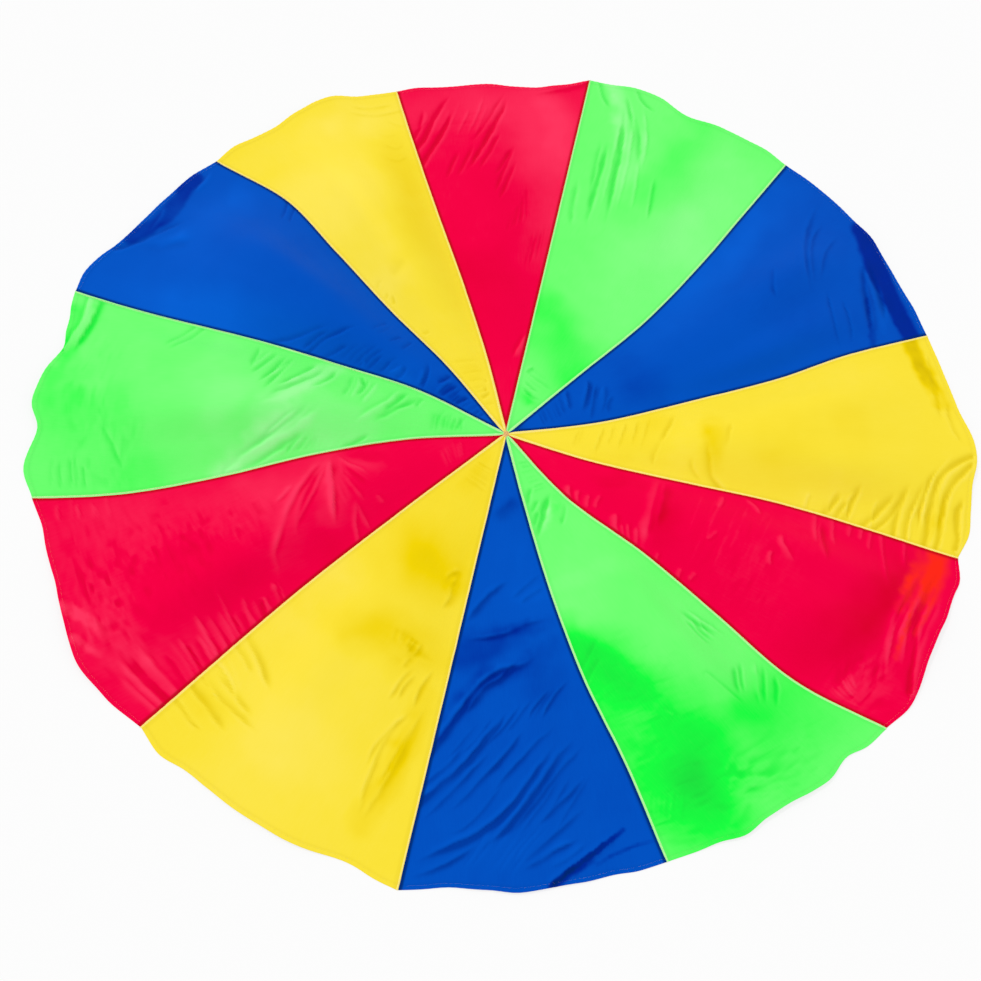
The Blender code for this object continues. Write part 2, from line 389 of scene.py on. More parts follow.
def fan(kind: CreaseKind, count: int, first: Percents, last: Percents, amount: float = 1.0,
        seed: int = 1) -> tuple[Crease, ...]:
    """Spread fine creases side by side between two guiding paths.

    Args:
        kind: What they are.
        count: How many.
        first: The path of the first, with as many places as the last has.
        last: The path of the last.
        amount: How strong they are, about.
        seed: What makes each a little different.

    Returns:
        The creases, each a little off its even place, length and strength.
    """
    rng = np.random.default_rng(seed)
    made = []
    for k in range(count):
        share = (k + rng.uniform(-0.4, 0.4)) / max(count - 1, 1)
        route = np.array(places(first)) * (1 - share) + np.array(places(last)) * share
        route[1:-1] += rng.uniform(-0.006, 0.006, (len(route) - 2, 2))
        route[-1] += (route[0] - route[-1]) * rng.uniform(0.0, 0.35)
        made.append(Crease(kind, tuple(map(tuple, route)), amount * rng.uniform(0.35, 1.4)))
    return tuple(made)


@dataclass(frozen=True)
class Wash:
    """A stroke of deeper cloth, below 0, or paler cloth, along a path on the gore: partly dye
    tone, partly painted shade and painted light.
    """

    amount: float
    half_width: float
    path: tuple[Place, ...]
    softness: float = 1.0


def deep(half_width: float, amount: float, path: Percents, softness: float = 1.0) -> Wash:
    """Name a stroke of deeper cloth, partly painted shade."""
    return Wash(-amount, half_width, places(path), softness)


def pale(half_width: float, amount: float, path: Percents, softness: float = 1.0) -> Wash:
    """Name a stroke of paler cloth, partly painted light."""
    return Wash(amount, half_width, places(path), softness)


@dataclass(frozen=True)
class Patch:
    """A soft round patch on a gore: its middle, its half width and length, and its amount."""

    across: float
    along: float
    half_across: float
    half_along: float
    amount: float


@dataclass(frozen=True)
class Fold:
    """One main fold that runs along a gore, as the frame has it."""

    across_share: float
    start_share: float
    height_share: float
    half_width_share: float = 0.2
    end_share: float = 1.0


@dataclass(frozen=True)
class Seam:
    """One radial seam as it lies on the floor, as the frame has it."""

    drift_deg: float
    length_share: float
    bow_shares: tuple[float, ...]
    lift_share: float


@dataclass(frozen=True)
class Gore:
    """One gore: its dye, the frame's form of it, and what only shows on fine cloth."""

    dye: Dye
    loft_share: float
    rim_rise_share: float
    rim_shares: tuple[float, ...]
    folds: tuple[Fold, ...]
    nicks: tuple[float, ...] = ()
    creases: tuple[Crease, ...] = ()
    crumples: tuple[Patch, ...] = ()
    # Washes paint deeper and paler tone, partly painted shade and painted light; glows paint a brighter
    # painted glow of light.
    washes: tuple[Wash, ...] = ()
    painted_glows: tuple[Wash, ...] = ()


STRAIGHT = (0.0, 0.0, 0.0, 0.0)
SEAMS: tuple[Seam, ...] = (
    Seam(-2.7, 1.017, (-0.010, -0.009, -0.003, 0.000), 0.007),
    Seam(0.0, 1.095, STRAIGHT, 0.0),
    Seam(1.2, 1.094, (-0.018, -0.038, -0.034, -0.017), 0.008),
    Seam(0.0, 1.048, (-0.030, -0.035, -0.031, -0.006), 0.017),
    Seam(-2.6, 0.996, (-0.012, -0.008, 0.004, 0.006), 0.019),
    Seam(1.8, 0.976, (-0.036, -0.033, -0.041, -0.046), 0.017),
    Seam(0.0, 0.939, (-0.018, -0.030, -0.029, -0.009), 0.007),
    Seam(0.0, 0.972, STRAIGHT, 0.0),
    Seam(-3.6, 0.956, (-0.005, -0.007, -0.009, -0.006), 0.017),
    Seam(-6.0, 0.978, (-0.014, 0.000, 0.022, 0.024), 0.031),
    Seam(-6.0, 0.999, (-0.026, -0.014, -0.006, 0.000), 0.033),
    Seam(-4.2, 0.988, (-0.019, -0.017, -0.031, -0.047), 0.025),
)

K = CreaseKind

# Each gore's creases and washes, placed where the real cloth has them.
# The washes are partly painted shade and painted light, not only dye.
GORE_01 = Gore(
    Dye.RED, .011, 0, (.001, .002, .004, -.006, -.012), (Fold(.45, .55, .004),),
    nicks=(14, 8, 5, 7, 3, -8, -13, 3, 0),
    creases=(
        *ridges(K.SHARP, .9, (97, 25, 86, 21.6, 75, 18.9, 64, 18.6)),
        *grooves(K.SHARP, 1.4, (27, 71, 36, 76, 46, 83, 53, 90, 57, 96), (0, 75, 10, 80, 20, 86, 27, 92.5),
            (0, 80, 8, 84, 17, 91, 27, 97.5)),
        *grooves(K.FINE, 1, (0, 83.5, 6, 87, 11, 93.5), (36, 71, 45, 77, 53, 84),
            (32, 80, 43, 86, 52, 94, 56, 98), (13, 70, 20, 74.5, 26, 79), (20, 70, 29, 75, 36, 81),
            (46, 63.5, 53, 70, 62, 80), (49, 61.5, 56, 67, 63, 75), (47, 69, 53, 73, 60, 79)),
        *fan(K.HAIR, 7, (2, 86, 10, 90, 18, 97), (36, 82, 44, 90, 50, 98)),
        *fan(K.HAIR, 7, (56, 52, 60, 56, 64, 61), (76, 56, 74, 62, 72, 68), -.9, 3),
        *fan(K.HAIR, 7, (76, 42, 79, 47, 82, 54), (97, 46, 96, 53, 95, 60), -.8, 11),
        *grooves(K.SHARP, .7, (100, 98.8, 85, 98, 70, 97.2)),
    ),
    crumples=(Patch(.7, .6, .14, .07, .15), Patch(.35, .86, .18, .06, .2)),
    washes=(pale(.2, .6, (92, 62, 80, 80, 62, 95)), pale(.09, .35, (97, 38, 93, 60)),
        pale(.06, .4, (98, 70, 90, 85, 75, 97)), deep(.2, .3, (30, 30, 25, 50)),
        pale(.1, .35, (0, 93, 50, 93)), pale(.12, .45, (55, 90, 98, 92))))
GORE_02 = Gore(
    Dye.GREEN, .007, .004, (.034, .04, .016, .028, .027), (Fold(.6, .45, .004),),
    nicks=(-11, -2, -2, -3, -1, 2, -6, -11, 3),
    creases=(
        *grooves(K.SHARP, 1.5, (20, 57, 18.7, 68, 17.8, 76, 16.5, 83),
            (33, 59, 28.5, 70, 24.5, 82, 18, 94.5)),
        *grooves(K.SHARP, .6, (37.5, 78, 33, 85, 25, 93), (10.5, 55, 7.5, 62, 6, 70)),
        *ridges(K.FINE, 1, (26, 62, 23, 74, 19, 92), (36, 62, 31, 78, 24, 94), (40, 77, 36, 86, 27, 96),
            (44, 66, 40, 74, 35, 82)),
        *grooves(K.FINE, 1, (4, 100, 8, 95, 13, 92), (22, 99, 27, 96.5, 34, 95.5),
            (26, 17.2, 20, 16.5, 10, 15), (16, 66, 14, 75, 13, 83), (48, 79, 53, 71, 57, 65),
            (29, 86, 22, 93, 17, 98)),
        *fan(K.HAIR, 6, (10, 10.5, 50, 10, 95, 9.5), (10, 16.5, 50, 15, 95, 15), -.9, 5),
    ),
    washes=(deep(.11, .75, (0, 29, 50, 24, 100, 20)), deep(.05, .1, (0, 37, 35, 33)),
        deep(.09, .38, (56, 66, 56, 80, 53, 100)), deep(.02, .8, (10, 10, 90, 8.5)),
        pale(.2, .45, (85, 50, 85, 85)), pale(.035, .6, (10, 100, 16, 94, 24, 84)),
        pale(.05, .4, (36, 70, 30, 86))))
GORE_03 = Gore(
    Dye.BLUE, .03, .014, (.03, .051, .059, .043, .024), (Fold(.45, .55, .012), Fold(.8, .35, .008, .15)),
    nicks=(2, -8, -19, -28, -20, -22, -17, -8, 0),
    creases=(
        *grooves(K.FINE, 1, (5, 16.5, 25, 15.7, 60, 14.8), (30, 23.2, 60, 20.1, 95, 17.5),
            (40, 24.7, 55, 23.5, 70, 22.2, 85, 20.3), (60, 24.7, 75, 22.7, 88, 21.8)),
        *grooves(K.SHARP, 1, (12, 21.6, 30, 21, 50, 19, 72, 16.8)),
        *ridges(K.HAIR, 1.3, (40, 23.8, 50, 22.6, 62, 21.3), (5, 15.4, 20, 14.7, 50, 14.2)),
        *grooves(K.SHARP, .5, (22, 97.5, 28, 91, 36, 85.5, 48, 81, 62, 78.5)),
        *grooves(K.FINE, .7, (31, 94, 37, 87.5, 47, 83, 60, 80), (41, 94, 47, 87, 58, 82),
            (55, 69.5, 46, 70.8, 36, 74.5)),
        *grooves(K.SHARP, 1, (95, 86.8, 80, 89.8, 68, 92, 59, 94.5), (90, 91.8, 78, 93.8, 60, 95.5)),
        *grooves(K.HAIR, 1, (95, 81.5, 85, 83.5, 70, 85), (97, 78.5, 80, 80, 62, 83)),
        *fan(K.HAIR, 6, (4, 8.5, 96, 8), (4, 13.5, 96, 13), -.8, 2),
    ),
    washes=(deep(.042, 1.3, (44, 99.2, 65, 96.8, 100, 95.7), .45),
        deep(.016, .45, (62, 93.5, 80, 90.5, 100, 86), .8),
        pale(.016, .35, (66, 94.5, 82, 92.5, 93, 90.5), .6), deep(.08, .35, (35, 30, 95, 31)),
        pale(.1, .8, (5, 40, 5, 93))))
GORE_04 = Gore(
    Dye.YELLOW, .038, .012, (.02, .048, .074, .062, .038), (Fold(.25, .5, .01), Fold(.7, .55, .013)),
    nicks=(6, 5, -4, -13, -9, -4, -14, -6, 15),
    creases=(
        *grooves(K.SHARP, .7, (100, 47, 90, 44.8, 75, 43.8, 53, 42.8)),
        *grooves(K.FINE, .8, (65, 47, 50, 47.6, 36, 48.2), (98, 43, 85, 40.5, 72, 40.2),
            (60, 32.5, 35, 34.5, 10, 36.2), (90, 31.8, 70, 32, 52, 33)),
        *grooves(K.SHARP, .8, (100, 70, 93, 71.5, 85, 73.2), (100, 74.5, 90, 75.7, 78, 77.2),
            (100, 78.5, 92, 81.2, 79, 84.7), (100, 85.5, 88, 85.6, 73, 87.3)),
        *grooves(K.FINE, 1, (100, 81.2, 92, 83.8, 80, 86.2), (100, 88.2, 88, 88, 70, 90.5),
            (95, 90.5, 80, 90.3, 62, 93), (100, 72.5, 94, 73.5, 88, 75)),
        *grooves(K.SHARP, 1.2, (100, 92.5, 85, 92, 70, 93.2, 61, 96.2, 57, 99),
            (100, 95, 85, 94.5, 72, 95.8, 61, 99), (97, 98.8, 85, 97.5, 74, 98.5)),
        *ridges(K.FINE, 1, (60, 97, 70, 94.5, 83, 93.4, 100, 93.8), (56, 95.5, 70, 92, 85, 90.6, 98, 90.5),
            (35, 95, 15, 97, 4, 98.5)),
        *grooves(K.FINE, 1, (42, 95.2, 30, 96.6, 18, 98.5), (30, 98.5, 42, 97, 52, 97.5)),
        *fan(K.HAIR, 6, (100, 66, 90, 67, 84, 68), (100, 90, 88, 90, 74, 92.5), 1, 8),
        *fan(K.HAIR, 7, (6, 14, 95, 13), (4, 31, 95, 29), -.8, 4),
    ),
    washes=(deep(.036, 1.7, (0, 95.2, 14, 95.7, 32, 97), .6), deep(.035, .8, (35, 44, 80, 44.5)),
        deep(.12, .4, (20, 19, 80, 24)), deep(.07, .4, (8, 32, 50, 31)), pale(.2, .1, (45, 72, 55, 88)),
        deep(.02, .5, (95, 93.5, 75, 94)), deep(.08, .25, (55, 60, 80, 62)), deep(.1, .2, (50, 70, 50, 82))))
GORE_05 = Gore(
    Dye.RED, .032, .014, (.026, .04, .04, .033, .03), (Fold(.3, .5, .012), Fold(.65, .6, .009)),
    nicks=(4, -15, -30, -34, -32, -24, -12, -9, -3),
    creases=(
        *ridges(K.PLEAT, .4, (97, 39.2, 75, 37.4, 50, 35.8, 25, 34.6, 2, 34)),
        *grooves(K.PLEAT, .45, (5, 36.2, 30, 37.5, 50, 38.6, 70, 39.8)),
        *ridges(K.SHARP, .8, (100, 20.5, 85, 18.7, 72, 18), (100, 33, 87, 31.2, 74, 30)),
        *ridges(K.FINE, 1, (95, 22.2, 83, 21, 70, 20.5), (95, 24.7, 82, 23.6, 66, 23),
            (87, 26.2, 75, 25.5, 58, 25.2), (100, 34.5, 92, 33.5, 84, 32.5), (100, 36.2, 90, 34.8, 79, 33.5),
            (100, 38, 90, 36.8, 78, 35.5), (100, 43.2, 94, 42.7, 88, 42.5), (100, 49, 94, 48.6, 88, 48.6),
            (95, 51, 90, 51.3, 84, 51.7)),
        *ridges(K.FINE, 1.2, (60, 49.5, 54, 50.5, 46, 51.1), (54, 64, 49, 63.2, 42, 62.7),
            (25, 48.6, 15, 48.5, 5, 48.2), (17, 57.5, 10, 55.8, 3, 52.5)),
        *ridges(K.SHARP, 1.1, (44, 68, 38, 65.2, 34, 63.7, 27, 63.3)),
        *grooves(K.SHARP, .8, (3, 69.8, 18, 71.5, 35, 74.2)),
        *ridges(K.FINE, 1, (25, 70.5, 15, 69.4, 1, 68), (20, 74.2, 12, 73.1, 0, 71.8),
            (10, 76.3, 5, 76.2, 0, 75.8), (9, 78.9, 5, 78.7, 0, 78.4), (31, 86.7, 20, 85, 10, 83.8, 0, 82.8),
            (16, 88.6, 9, 88.5, 0, 88), (14, 81.2, 7, 80.8, 0, 80.4)),
        *ridges(K.SHARP, 1, (78, 93.7, 62, 91.8, 48, 90.4, 30, 90.6, 10, 93),
            (72, 96.2, 58, 94.3, 44, 93, 25, 93.7, 6, 95.5)),
        *grooves(K.SHARP, 1.2, (78, 98.7, 60, 96.8, 42, 94.8, 20, 95.2)),
        *fan(K.FINE, 6, (30, 91.5, 50, 91.2, 70, 92.5), (20, 97.5, 50, 97, 85, 98.5), .9, 6),
        *fan(K.HAIR, 8, (80, 87, 86, 89, 90, 91), (95, 86, 97, 90, 98, 95), 1.2, 7),
        *fan(K.HAIR, 7, (5, 43, 40, 44, 90, 46), (5, 60, 50, 60, 95, 62), .6, 9),
    ),
    crumples=(Patch(.82, .91, .16, .05, .9), Patch(.55, .6, .32, .1, .3)),
    washes=(deep(.1, .7, (20, 88, 50, 84, 82, 80)), deep(.05, .4, (2, 90, 40, 89, 75, 85.5)),
        deep(.05, .5, (30, 38.5, 55, 39.5, 75, 42)), deep(.08, .35, (10, 25, 35, 27)),
        pale(.06, .12, (62, 93, 80, 92, 97, 89)), pale(.12, .05, (35, 62, 80, 56)),
        pale(.03, .45, (74, 37, 95, 38.5))),
    # Painted glow: brighter, more orange light near the rim.
    painted_glows=(pale(.045, .8, (1, 95.5, 16, 94.5, 26, 95), .5), pale(.018, .7, (4, 91.5, 40, 90.5)),
        pale(.018, .6, (4, 95.5, 34, 93.8)), pale(.01, .7, (30, 92.5, 66, 94)),
        pale(.008, .6, (20, 96.5, 50, 95.5))))
GORE_06 = Gore(
    Dye.GREEN, .022, .008, (.01, .024, .03, .026, .016), (Fold(.35, .35, .008),),
    nicks=(6, -9, 4, -2, -13, -8, 12, -3, 0),
    creases=(
        *grooves(K.SHARP, 1, (97, 27.2, 85, 24.6, 68, 21.7, 45, 19, 18, 16.7)),
        *grooves(K.FINE, 1, (95, 20.8, 76, 19, 60, 17.8), (55, 26.2, 30, 23, 10, 20.3),
            (95, 18.7, 80, 15.8, 60, 14.2), (97, 24, 85, 22, 75, 20.5)),
        *grooves(K.SHARP, .7, (18, 55.2, 16, 58.5, 10, 64)),
        *ridges(K.FINE, 1.1, (8, 64, 12, 59, 14, 55.5), (24, 80.3, 14, 75.7, 5, 72)),
        *grooves(K.FINE, 1, (23, 81.5, 13, 77.5, 3, 73.5), (26, 80.8, 16, 76.5, 8, 73),
            (27, 77.5, 20, 74, 12, 70.5), (30, 77.2, 24, 74, 17, 70.8), (20, 83, 11, 80, 3, 76.5)),
        *grooves(K.FINE, .8, (100, 58.2, 90, 55.8, 80, 53.5), (100, 61, 92, 59, 84, 57.5)),
        *fan(K.HAIR, 6, (6, 60, 9, 62, 7, 66), (20, 57, 21, 62, 19, 66), -1.1, 3),
        *fan(K.HAIR, 9, (80, 88, 85, 91, 90, 95), (93, 86, 97, 89, 100, 93), -.6, 4),
        *fan(K.HAIR, 7, (10, 8, 90, 7.5), (10, 15, 95, 16), -.7, 2),
        *grooves(K.HAIR, 1, (41, 71.2, 36, 70, 33, 74, 31, 80), (70, 72, 66, 73.5, 63, 76)),
    ),
    crumples=(Patch(.75, .72, .24, .14, .45), Patch(.65, .92, .35, .06, .7)),
    washes=(deep(.16, .9, (100, 61, 88, 76, 84, 96), .75), deep(.06, .6, (100, 50, 90, 57, 74, 66), .8),
        deep(.16, .6, (0, 86, 30, 88, 60, 87)), deep(.12, .35, (38, 74, 45, 84)),
        deep(.1, .35, (50, 98, 100, 96)), deep(.09, .6, (60, 87, 95, 88)), deep(.13, .5, (68, 74, 78, 96)),
        pale(.16, .22, (65, 34, 80, 40)), deep(.02, .4, (20, 19, 60, 23.5)),
        pale(.015, .5, (35, 19.5, 80, 25))))
GORE_07 = Gore(
    Dye.BLUE, .006, .003, (.008, .018, .026, .014, .002), (Fold(.4, .45, .004),),
    nicks=(8, 4, 4, -1, -1, 8, 7, 2, 5),
    creases=(
        *grooves(K.SOFT, .22, (10, 15.5, 40, 17.8, 70, 20.2, 95, 21.5)),
        *grooves(K.FINE, .9, (4, 35, 20, 37.2, 50, 41.2), (3, 38.5, 20, 40, 40, 42.5)),
        *grooves(K.SHARP, .8, (48, 36.7, 65, 38.4, 80, 41.2, 97, 46.2)),
        *grooves(K.FINE, 1, (10, 46.2, 35, 47.3, 60, 49.5, 95, 50)),
        *grooves(K.SHARP, 1.2, (28, 53.5, 42, 56.5, 62, 57.5, 78, 61.2, 90, 67.5, 100, 73.5),
            (45, 55, 60, 59, 72, 61.2, 84, 66.5)),
        *ridges(K.SHARP, .7, (100, 70.5, 90, 65.2, 80, 60.5, 68, 57.2)),
        *grooves(K.SHARP, 1.4, (58, 66.5, 70, 71.2, 82, 77, 100, 83.5),
            (30, 72.8, 45, 79, 60, 85.8, 75, 90.8, 97, 95.2),
            (19, 72.8, 32, 76.5, 45, 82.2, 60, 89, 73, 93.8)),
        *grooves(K.FINE, 1, (57, 73.8, 68, 78.5, 86, 86.2), (67, 73.8, 80, 79.7, 97, 87.5),
            (28, 69.8, 42, 73.2, 58, 78.5, 68, 83), (16, 74.4, 32, 79, 46, 84.5, 60, 90.5),
            (20, 80.8, 32, 84.5, 48, 89.2), (24, 86.8, 38, 90.5, 56, 95.5), (72, 92.2, 84, 96, 97, 97.8),
            (30, 92.5, 42, 94, 55, 96.5), (48, 70, 62, 76, 75, 81), (82, 73, 90, 77, 100, 80)),
        *grooves(K.SHARP, 1.2, (12, 92.2, 24, 95, 34, 97, 43, 99.3)),
        *ridges(K.FINE, 1, (45, 96.5, 36, 95, 28, 93), (50, 95.5, 40, 93.2, 32, 92.5)),
        *fan(K.HAIR, 7, (42, 89, 52, 93.5, 62, 98.5), (66, 89, 72, 93.5, 78, 98), 1.1, 12),
        *fan(K.HAIR, 8, (10, 60, 25, 64, 42, 70), (75, 68, 86, 74, 100, 79), -1.1, 6),
        *fan(K.HAIR, 6, (16, 80, 30, 86, 44, 93), (60, 80, 76, 88, 92, 93), -1.1, 7),
    ),
    washes=(deep(.07, .3, (10, 60, 50, 60)), deep(.055, .65, (48, 50, 75, 52, 100, 53), .8),
        deep(.025, .5, (12, 47, 60, 49), .8), deep(.03, .45, (10, 52, 45, 57, 75, 60, 100, 70)),
        deep(.008, 1.6, (12, 92.2, 24, 95, 34, 97, 43, 99.3), .6),
        deep(.006, .6, (2, 95.5, 12, 95.7, 26, 97.5), .7), deep(.01, 1.2, (28, 96.8, 37, 98.2, 44, 99.8)),
        pale(.1, .2, (10, 28, 45, 28)), pale(.09, .3, (5, 38, 15, 44)), deep(.03, .2, (20, 16, 60, 19))))
GORE_08 = Gore(
    Dye.YELLOW, .011, .004, (.006, .028, .042, .034, .026), (Fold(.65, .45, .005),),
    nicks=(6, -3, -3, -5, -14, -10, -12, -14, 10),
    creases=(
        *grooves(K.SHARP, .6, (9, 35.2, 16, 37, 23, 39.5), (11, 36.2, 13, 39.5, 12, 42.5, 17, 46)),
        *grooves(K.FINE, 1.1, (20, 60, 24, 65, 26, 69), (17, 61, 21, 65, 22, 68), (23, 58.5, 26, 61.5),
            (8, 58, 12, 63, 13, 68)),
        *fan(K.FINE, 6, (21, 54.5, 22, 56.5, 24, 58.5), (38, 54.5, 37, 56, 36, 58), -1, 2),
        *grooves(K.SHARP, .8, (7, 65.5, 10, 73, 14, 84, 18.7, 92.5)),
        *grooves(K.FINE, 1, (13, 68, 19, 73, 23, 78, 24, 83), (10, 70, 14, 78, 17, 86),
            (16, 70, 20, 76, 21, 84, 19.5, 92)),
        *grooves(K.SHARP, .8, (100, 73.2, 90, 75, 80, 77.5, 73, 79.5), (100, 87.8, 90, 88.4, 77, 90.2)),
        *grooves(K.FINE, .8, (100, 85, 88, 85.7, 66, 87.2), (97, 82.5, 86, 83.5, 72, 85.5),
            (100, 92, 92, 92.2, 84, 92.8), (100, 76, 93, 77, 85, 78.5)),
        *fan(K.HAIR, 6, (100, 78, 90, 80, 80, 83), (100, 94, 92, 94, 84, 94.5), 1, 5),
        *fan(K.HAIR, 6, (5, 10, 95, 10), (5, 15, 95, 14.5), -.7, 3),
    ),
    crumples=(Patch(.27, .57, .14, .035, .5), Patch(.16, .39, .06, .04, .5)),
    washes=(deep(.18, .22, (45, 10, 42, 50), .6), deep(.1, .65, (10, 30, 40, 36, 90, 40)),
        deep(.08, .35, (12, 36, 70, 45)), deep(.07, .75, (2, 55, 35, 57, 85, 60)),
        deep(.09, .4, (20, 12, 90, 12)), deep(.04, .85, (8, 64, 13, 79, 18, 93), .8),
        deep(.04, .5, (13, 37, 13, 42)), pale(.26, .35, (60, 75, 55, 92)), pale(.12, .4, (95, 45, 95, 62)),
        deep(.05, .3, (78, 86, 95, 89))))
GORE_09 = Gore(
    Dye.RED, .033, .01, (.033, .056, .049, .028, .005), (Fold(.35, .45, .01),),
    nicks=(5, 1, -2, -13, -16, -11, 2, 11, 4),
    creases=(
        *ridges(K.SHARP, 1.5, (23, 45.8, 40, 44.2, 60, 42.2, 80, 40.5, 95, 39)),
        *ridges(K.SHARP, .8, (13, 61.2, 28, 60, 40, 56.8, 60, 51.3, 78, 45.5, 92, 40.5)),
        *ridges(K.FINE, 1.1, (27, 54, 38, 53.3, 52, 48.7, 70, 44, 92, 39.8), (2, 39.2, 20, 39.4, 36, 39),
            (1, 42.8, 12, 42, 25, 40.5, 38, 38.8), (18, 33.5, 25, 33.8, 33, 34.4),
            (54, 33.8, 66, 34.5, 80, 36.8, 95, 37.7), (30, 37.5, 50, 38, 70, 38.5),
            (62, 55, 66, 52.5, 74, 49.2)),
        *ridges(K.SOFT, .35, (50, 29, 62, 29.8, 70, 32.5, 80, 35.5, 93, 36.8)),
        *grooves(K.SHARP, .6, (90, 41.3, 78, 44.7, 66, 48.7, 58, 51), (88, 40, 70, 45, 52, 49.7, 34, 54.2)),
        *fan(K.FINE, 6, (45, 33.5, 70, 36, 93, 37.2), (30, 42, 60, 41, 93, 38.5), -.6, 4),
        *fan(K.FINE, 13, (0, 62, 8, 62, 16, 61.5), (0, 86, 12, 85.5, 28, 85), .9, 5),
        *fan(K.FINE, 10, (0, 63.5, 8, 63, 14, 63), (0, 87.5, 12, 87, 24, 87), -.8, 6),
        *ridges(K.SHARP, 1, (0, 90.5, 12, 90.6, 28, 90.5), (0, 94.2, 12, 94.2, 26, 94.4)),
        *grooves(K.SHARP, .9, (0, 92.4, 12, 92.5, 26, 92.4)),
        *ridges(K.FINE, 1, (0, 95.8, 10, 95.8, 20, 96), (0, 74.5, 14, 73.9, 32, 72.8),
            (0, 80.3, 10, 79.8, 22, 79), (30, 96.2, 45, 96.6, 56, 98.2)),
        *fan(K.HAIR, 6, (86, 86, 93, 85.5, 100, 85.2), (88, 96.5, 94, 95.5, 100, 94.5), 1.3, 7),
        *fan(K.HAIR, 6, (12, 12, 95, 10), (10, 16, 95, 15), .7, 2),
    ),
    crumples=(Patch(.62, .78, .24, .13, .6), Patch(.45, .93, .32, .05, .8), Patch(.6, .62, .16, .06, .5)),
    washes=(pale(.1, .45, (97, 46, 78, 55, 70, 62)), pale(.15, .3, (95, 72, 85, 93)),
        deep(.1, .2, (30, 62, 38, 85)), deep(.06, .25, (30, 48, 0, 50)), pale(.07, .3, (5, 90, 50, 92)),
        pale(.12, .25, (12, 72, 12, 93)), pale(.04, .5, (30, 45.2, 60, 42, 97, 39)),
        pale(.03, .2, (20, 60.6, 40, 56.8, 95, 40)), pale(.016, .8, (36, 94, 46, 96.5, 54, 100)),
        pale(.012, .7, (30, 96.2, 40, 99))))
GORE_10 = Gore(
    Dye.GREEN, .046, .014, (.03, .027, .044, .022, -.002), (Fold(.4, .4, .01), Fold(.8, .55, .012, .15)),
    nicks=(8, -9, -19, 0, -20, -22, -34, -3, 8),
    creases=(
        *grooves(K.SHARP, .8, (27, 29.7, 38, 27.2, 55, 24.3, 70, 21.6, 92, 20),
            (42, 27.8, 60, 25.6, 75, 24, 92, 22.5)),
        *ridges(K.SHARP, .7, (95, 24.3, 78, 25.4, 60, 27.1, 40, 30.7, 25, 33.8)),
        *grooves(K.FINE, 1.1, (60, 20.6, 75, 20, 92, 18.8), (60, 34, 75, 32.6, 95, 31.5),
            (56, 37, 75, 35.6, 95, 35), (80, 32.5, 95, 33)),
        *ridges(K.FINE, .9, (95, 29.5, 75, 30.7, 48, 32.7), (95, 33.7, 75, 34, 55, 35.2)),
        *ridges(K.PLEAT, .35, (46, 40.2, 30, 44.3, 20, 48, 11, 55, 1, 60)),
        *grooves(K.SHARP, .7, (6, 59.2, 14, 55.5, 24, 50.2, 36, 45.7, 48, 43.5),
            (1, 56.5, 7, 51.5, 14, 47.2, 23, 43.8)),
        *ridges(K.PLEAT, .35, (97, 38.8, 78, 41.4, 60, 45.3, 48, 50, 39, 55)),
        *grooves(K.SHARP, .8, (60, 44.3, 70, 41.8, 82, 39.8, 97, 38.3),
            (47, 53.3, 60, 48.2, 78, 43.2, 97, 40.8), (66, 57.2, 80, 54.6, 97, 51.7)),
        *grooves(K.FINE, 1.1, (52, 54.2, 64, 52, 80, 50, 97, 48.2), (58, 55.7, 70, 53, 97, 49.7),
            (57, 51.5, 70, 47.8, 85, 44.7, 97, 43.2), (74, 57.5, 88, 56.6, 98, 56.2)),
        *ridges(K.FINE, .9, (97, 42.5, 80, 44.6, 60, 50), (97, 53.2, 82, 55.5, 70, 57.8),
            (90, 48.8, 78, 50.7, 66, 53.2), (40, 45.5, 28, 49.5, 18, 53.5)),
        *grooves(K.FINE, .8, (76, 76.2, 86, 72.8, 100, 69.2), (78, 77.5, 88, 74.5, 100, 71.2),
            (0, 35, 6, 31.8, 13, 29.8), (8, 81.2, 20, 83.2, 34, 87.3)),
        *fan(K.HAIR, 5, (2, 89.5, 10, 89.5, 20, 90), (2, 95.5, 12, 94.8, 22, 94.5), -1.3, 8),
        *grooves(K.SHARP, 1.3, (100, 93.5, 86, 94.8, 68, 97.2)),
        *ridges(K.SHARP, 1.2, (100, 96, 86, 97, 70, 99.2)),
        *fan(K.HAIR, 8, (10, 10, 60, 9.5, 96, 9), (5, 16.5, 50, 16, 96, 15), -1.1, 2),
        *fan(K.HAIR, 5, (4, 43, 10, 42, 18, 41), (4, 49, 12, 47, 22, 44), -1, 3),
    ),
    crumples=(Patch(.2, .84, .22, .07, .3), Patch(.5, .9, .28, .06, .3)),
    washes=(pale(.05, .7, (0, 60, 20, 52, 50, 42)), pale(.1, .35, (6, 37, 50, 33.5)),
        pale(.035, .6, (34, 55, 60, 46.5, 100, 39)), deep(.14, .6, (15, 88, 50, 92)),
        pale(.08, .4, (2, 34, 10, 48)), pale(.15, .45, (30, 60, 70, 62)), deep(.06, .35, (20, 14, 80, 14)),
        deep(.1, .3, (0, 76, 12, 82)), deep(.016, .45, (100, 93.5, 84, 95, 66, 97.5)),
        deep(.03, .5, (40, 97.5, 90, 99)), deep(.06, .4, (35, 92, 55, 93))))
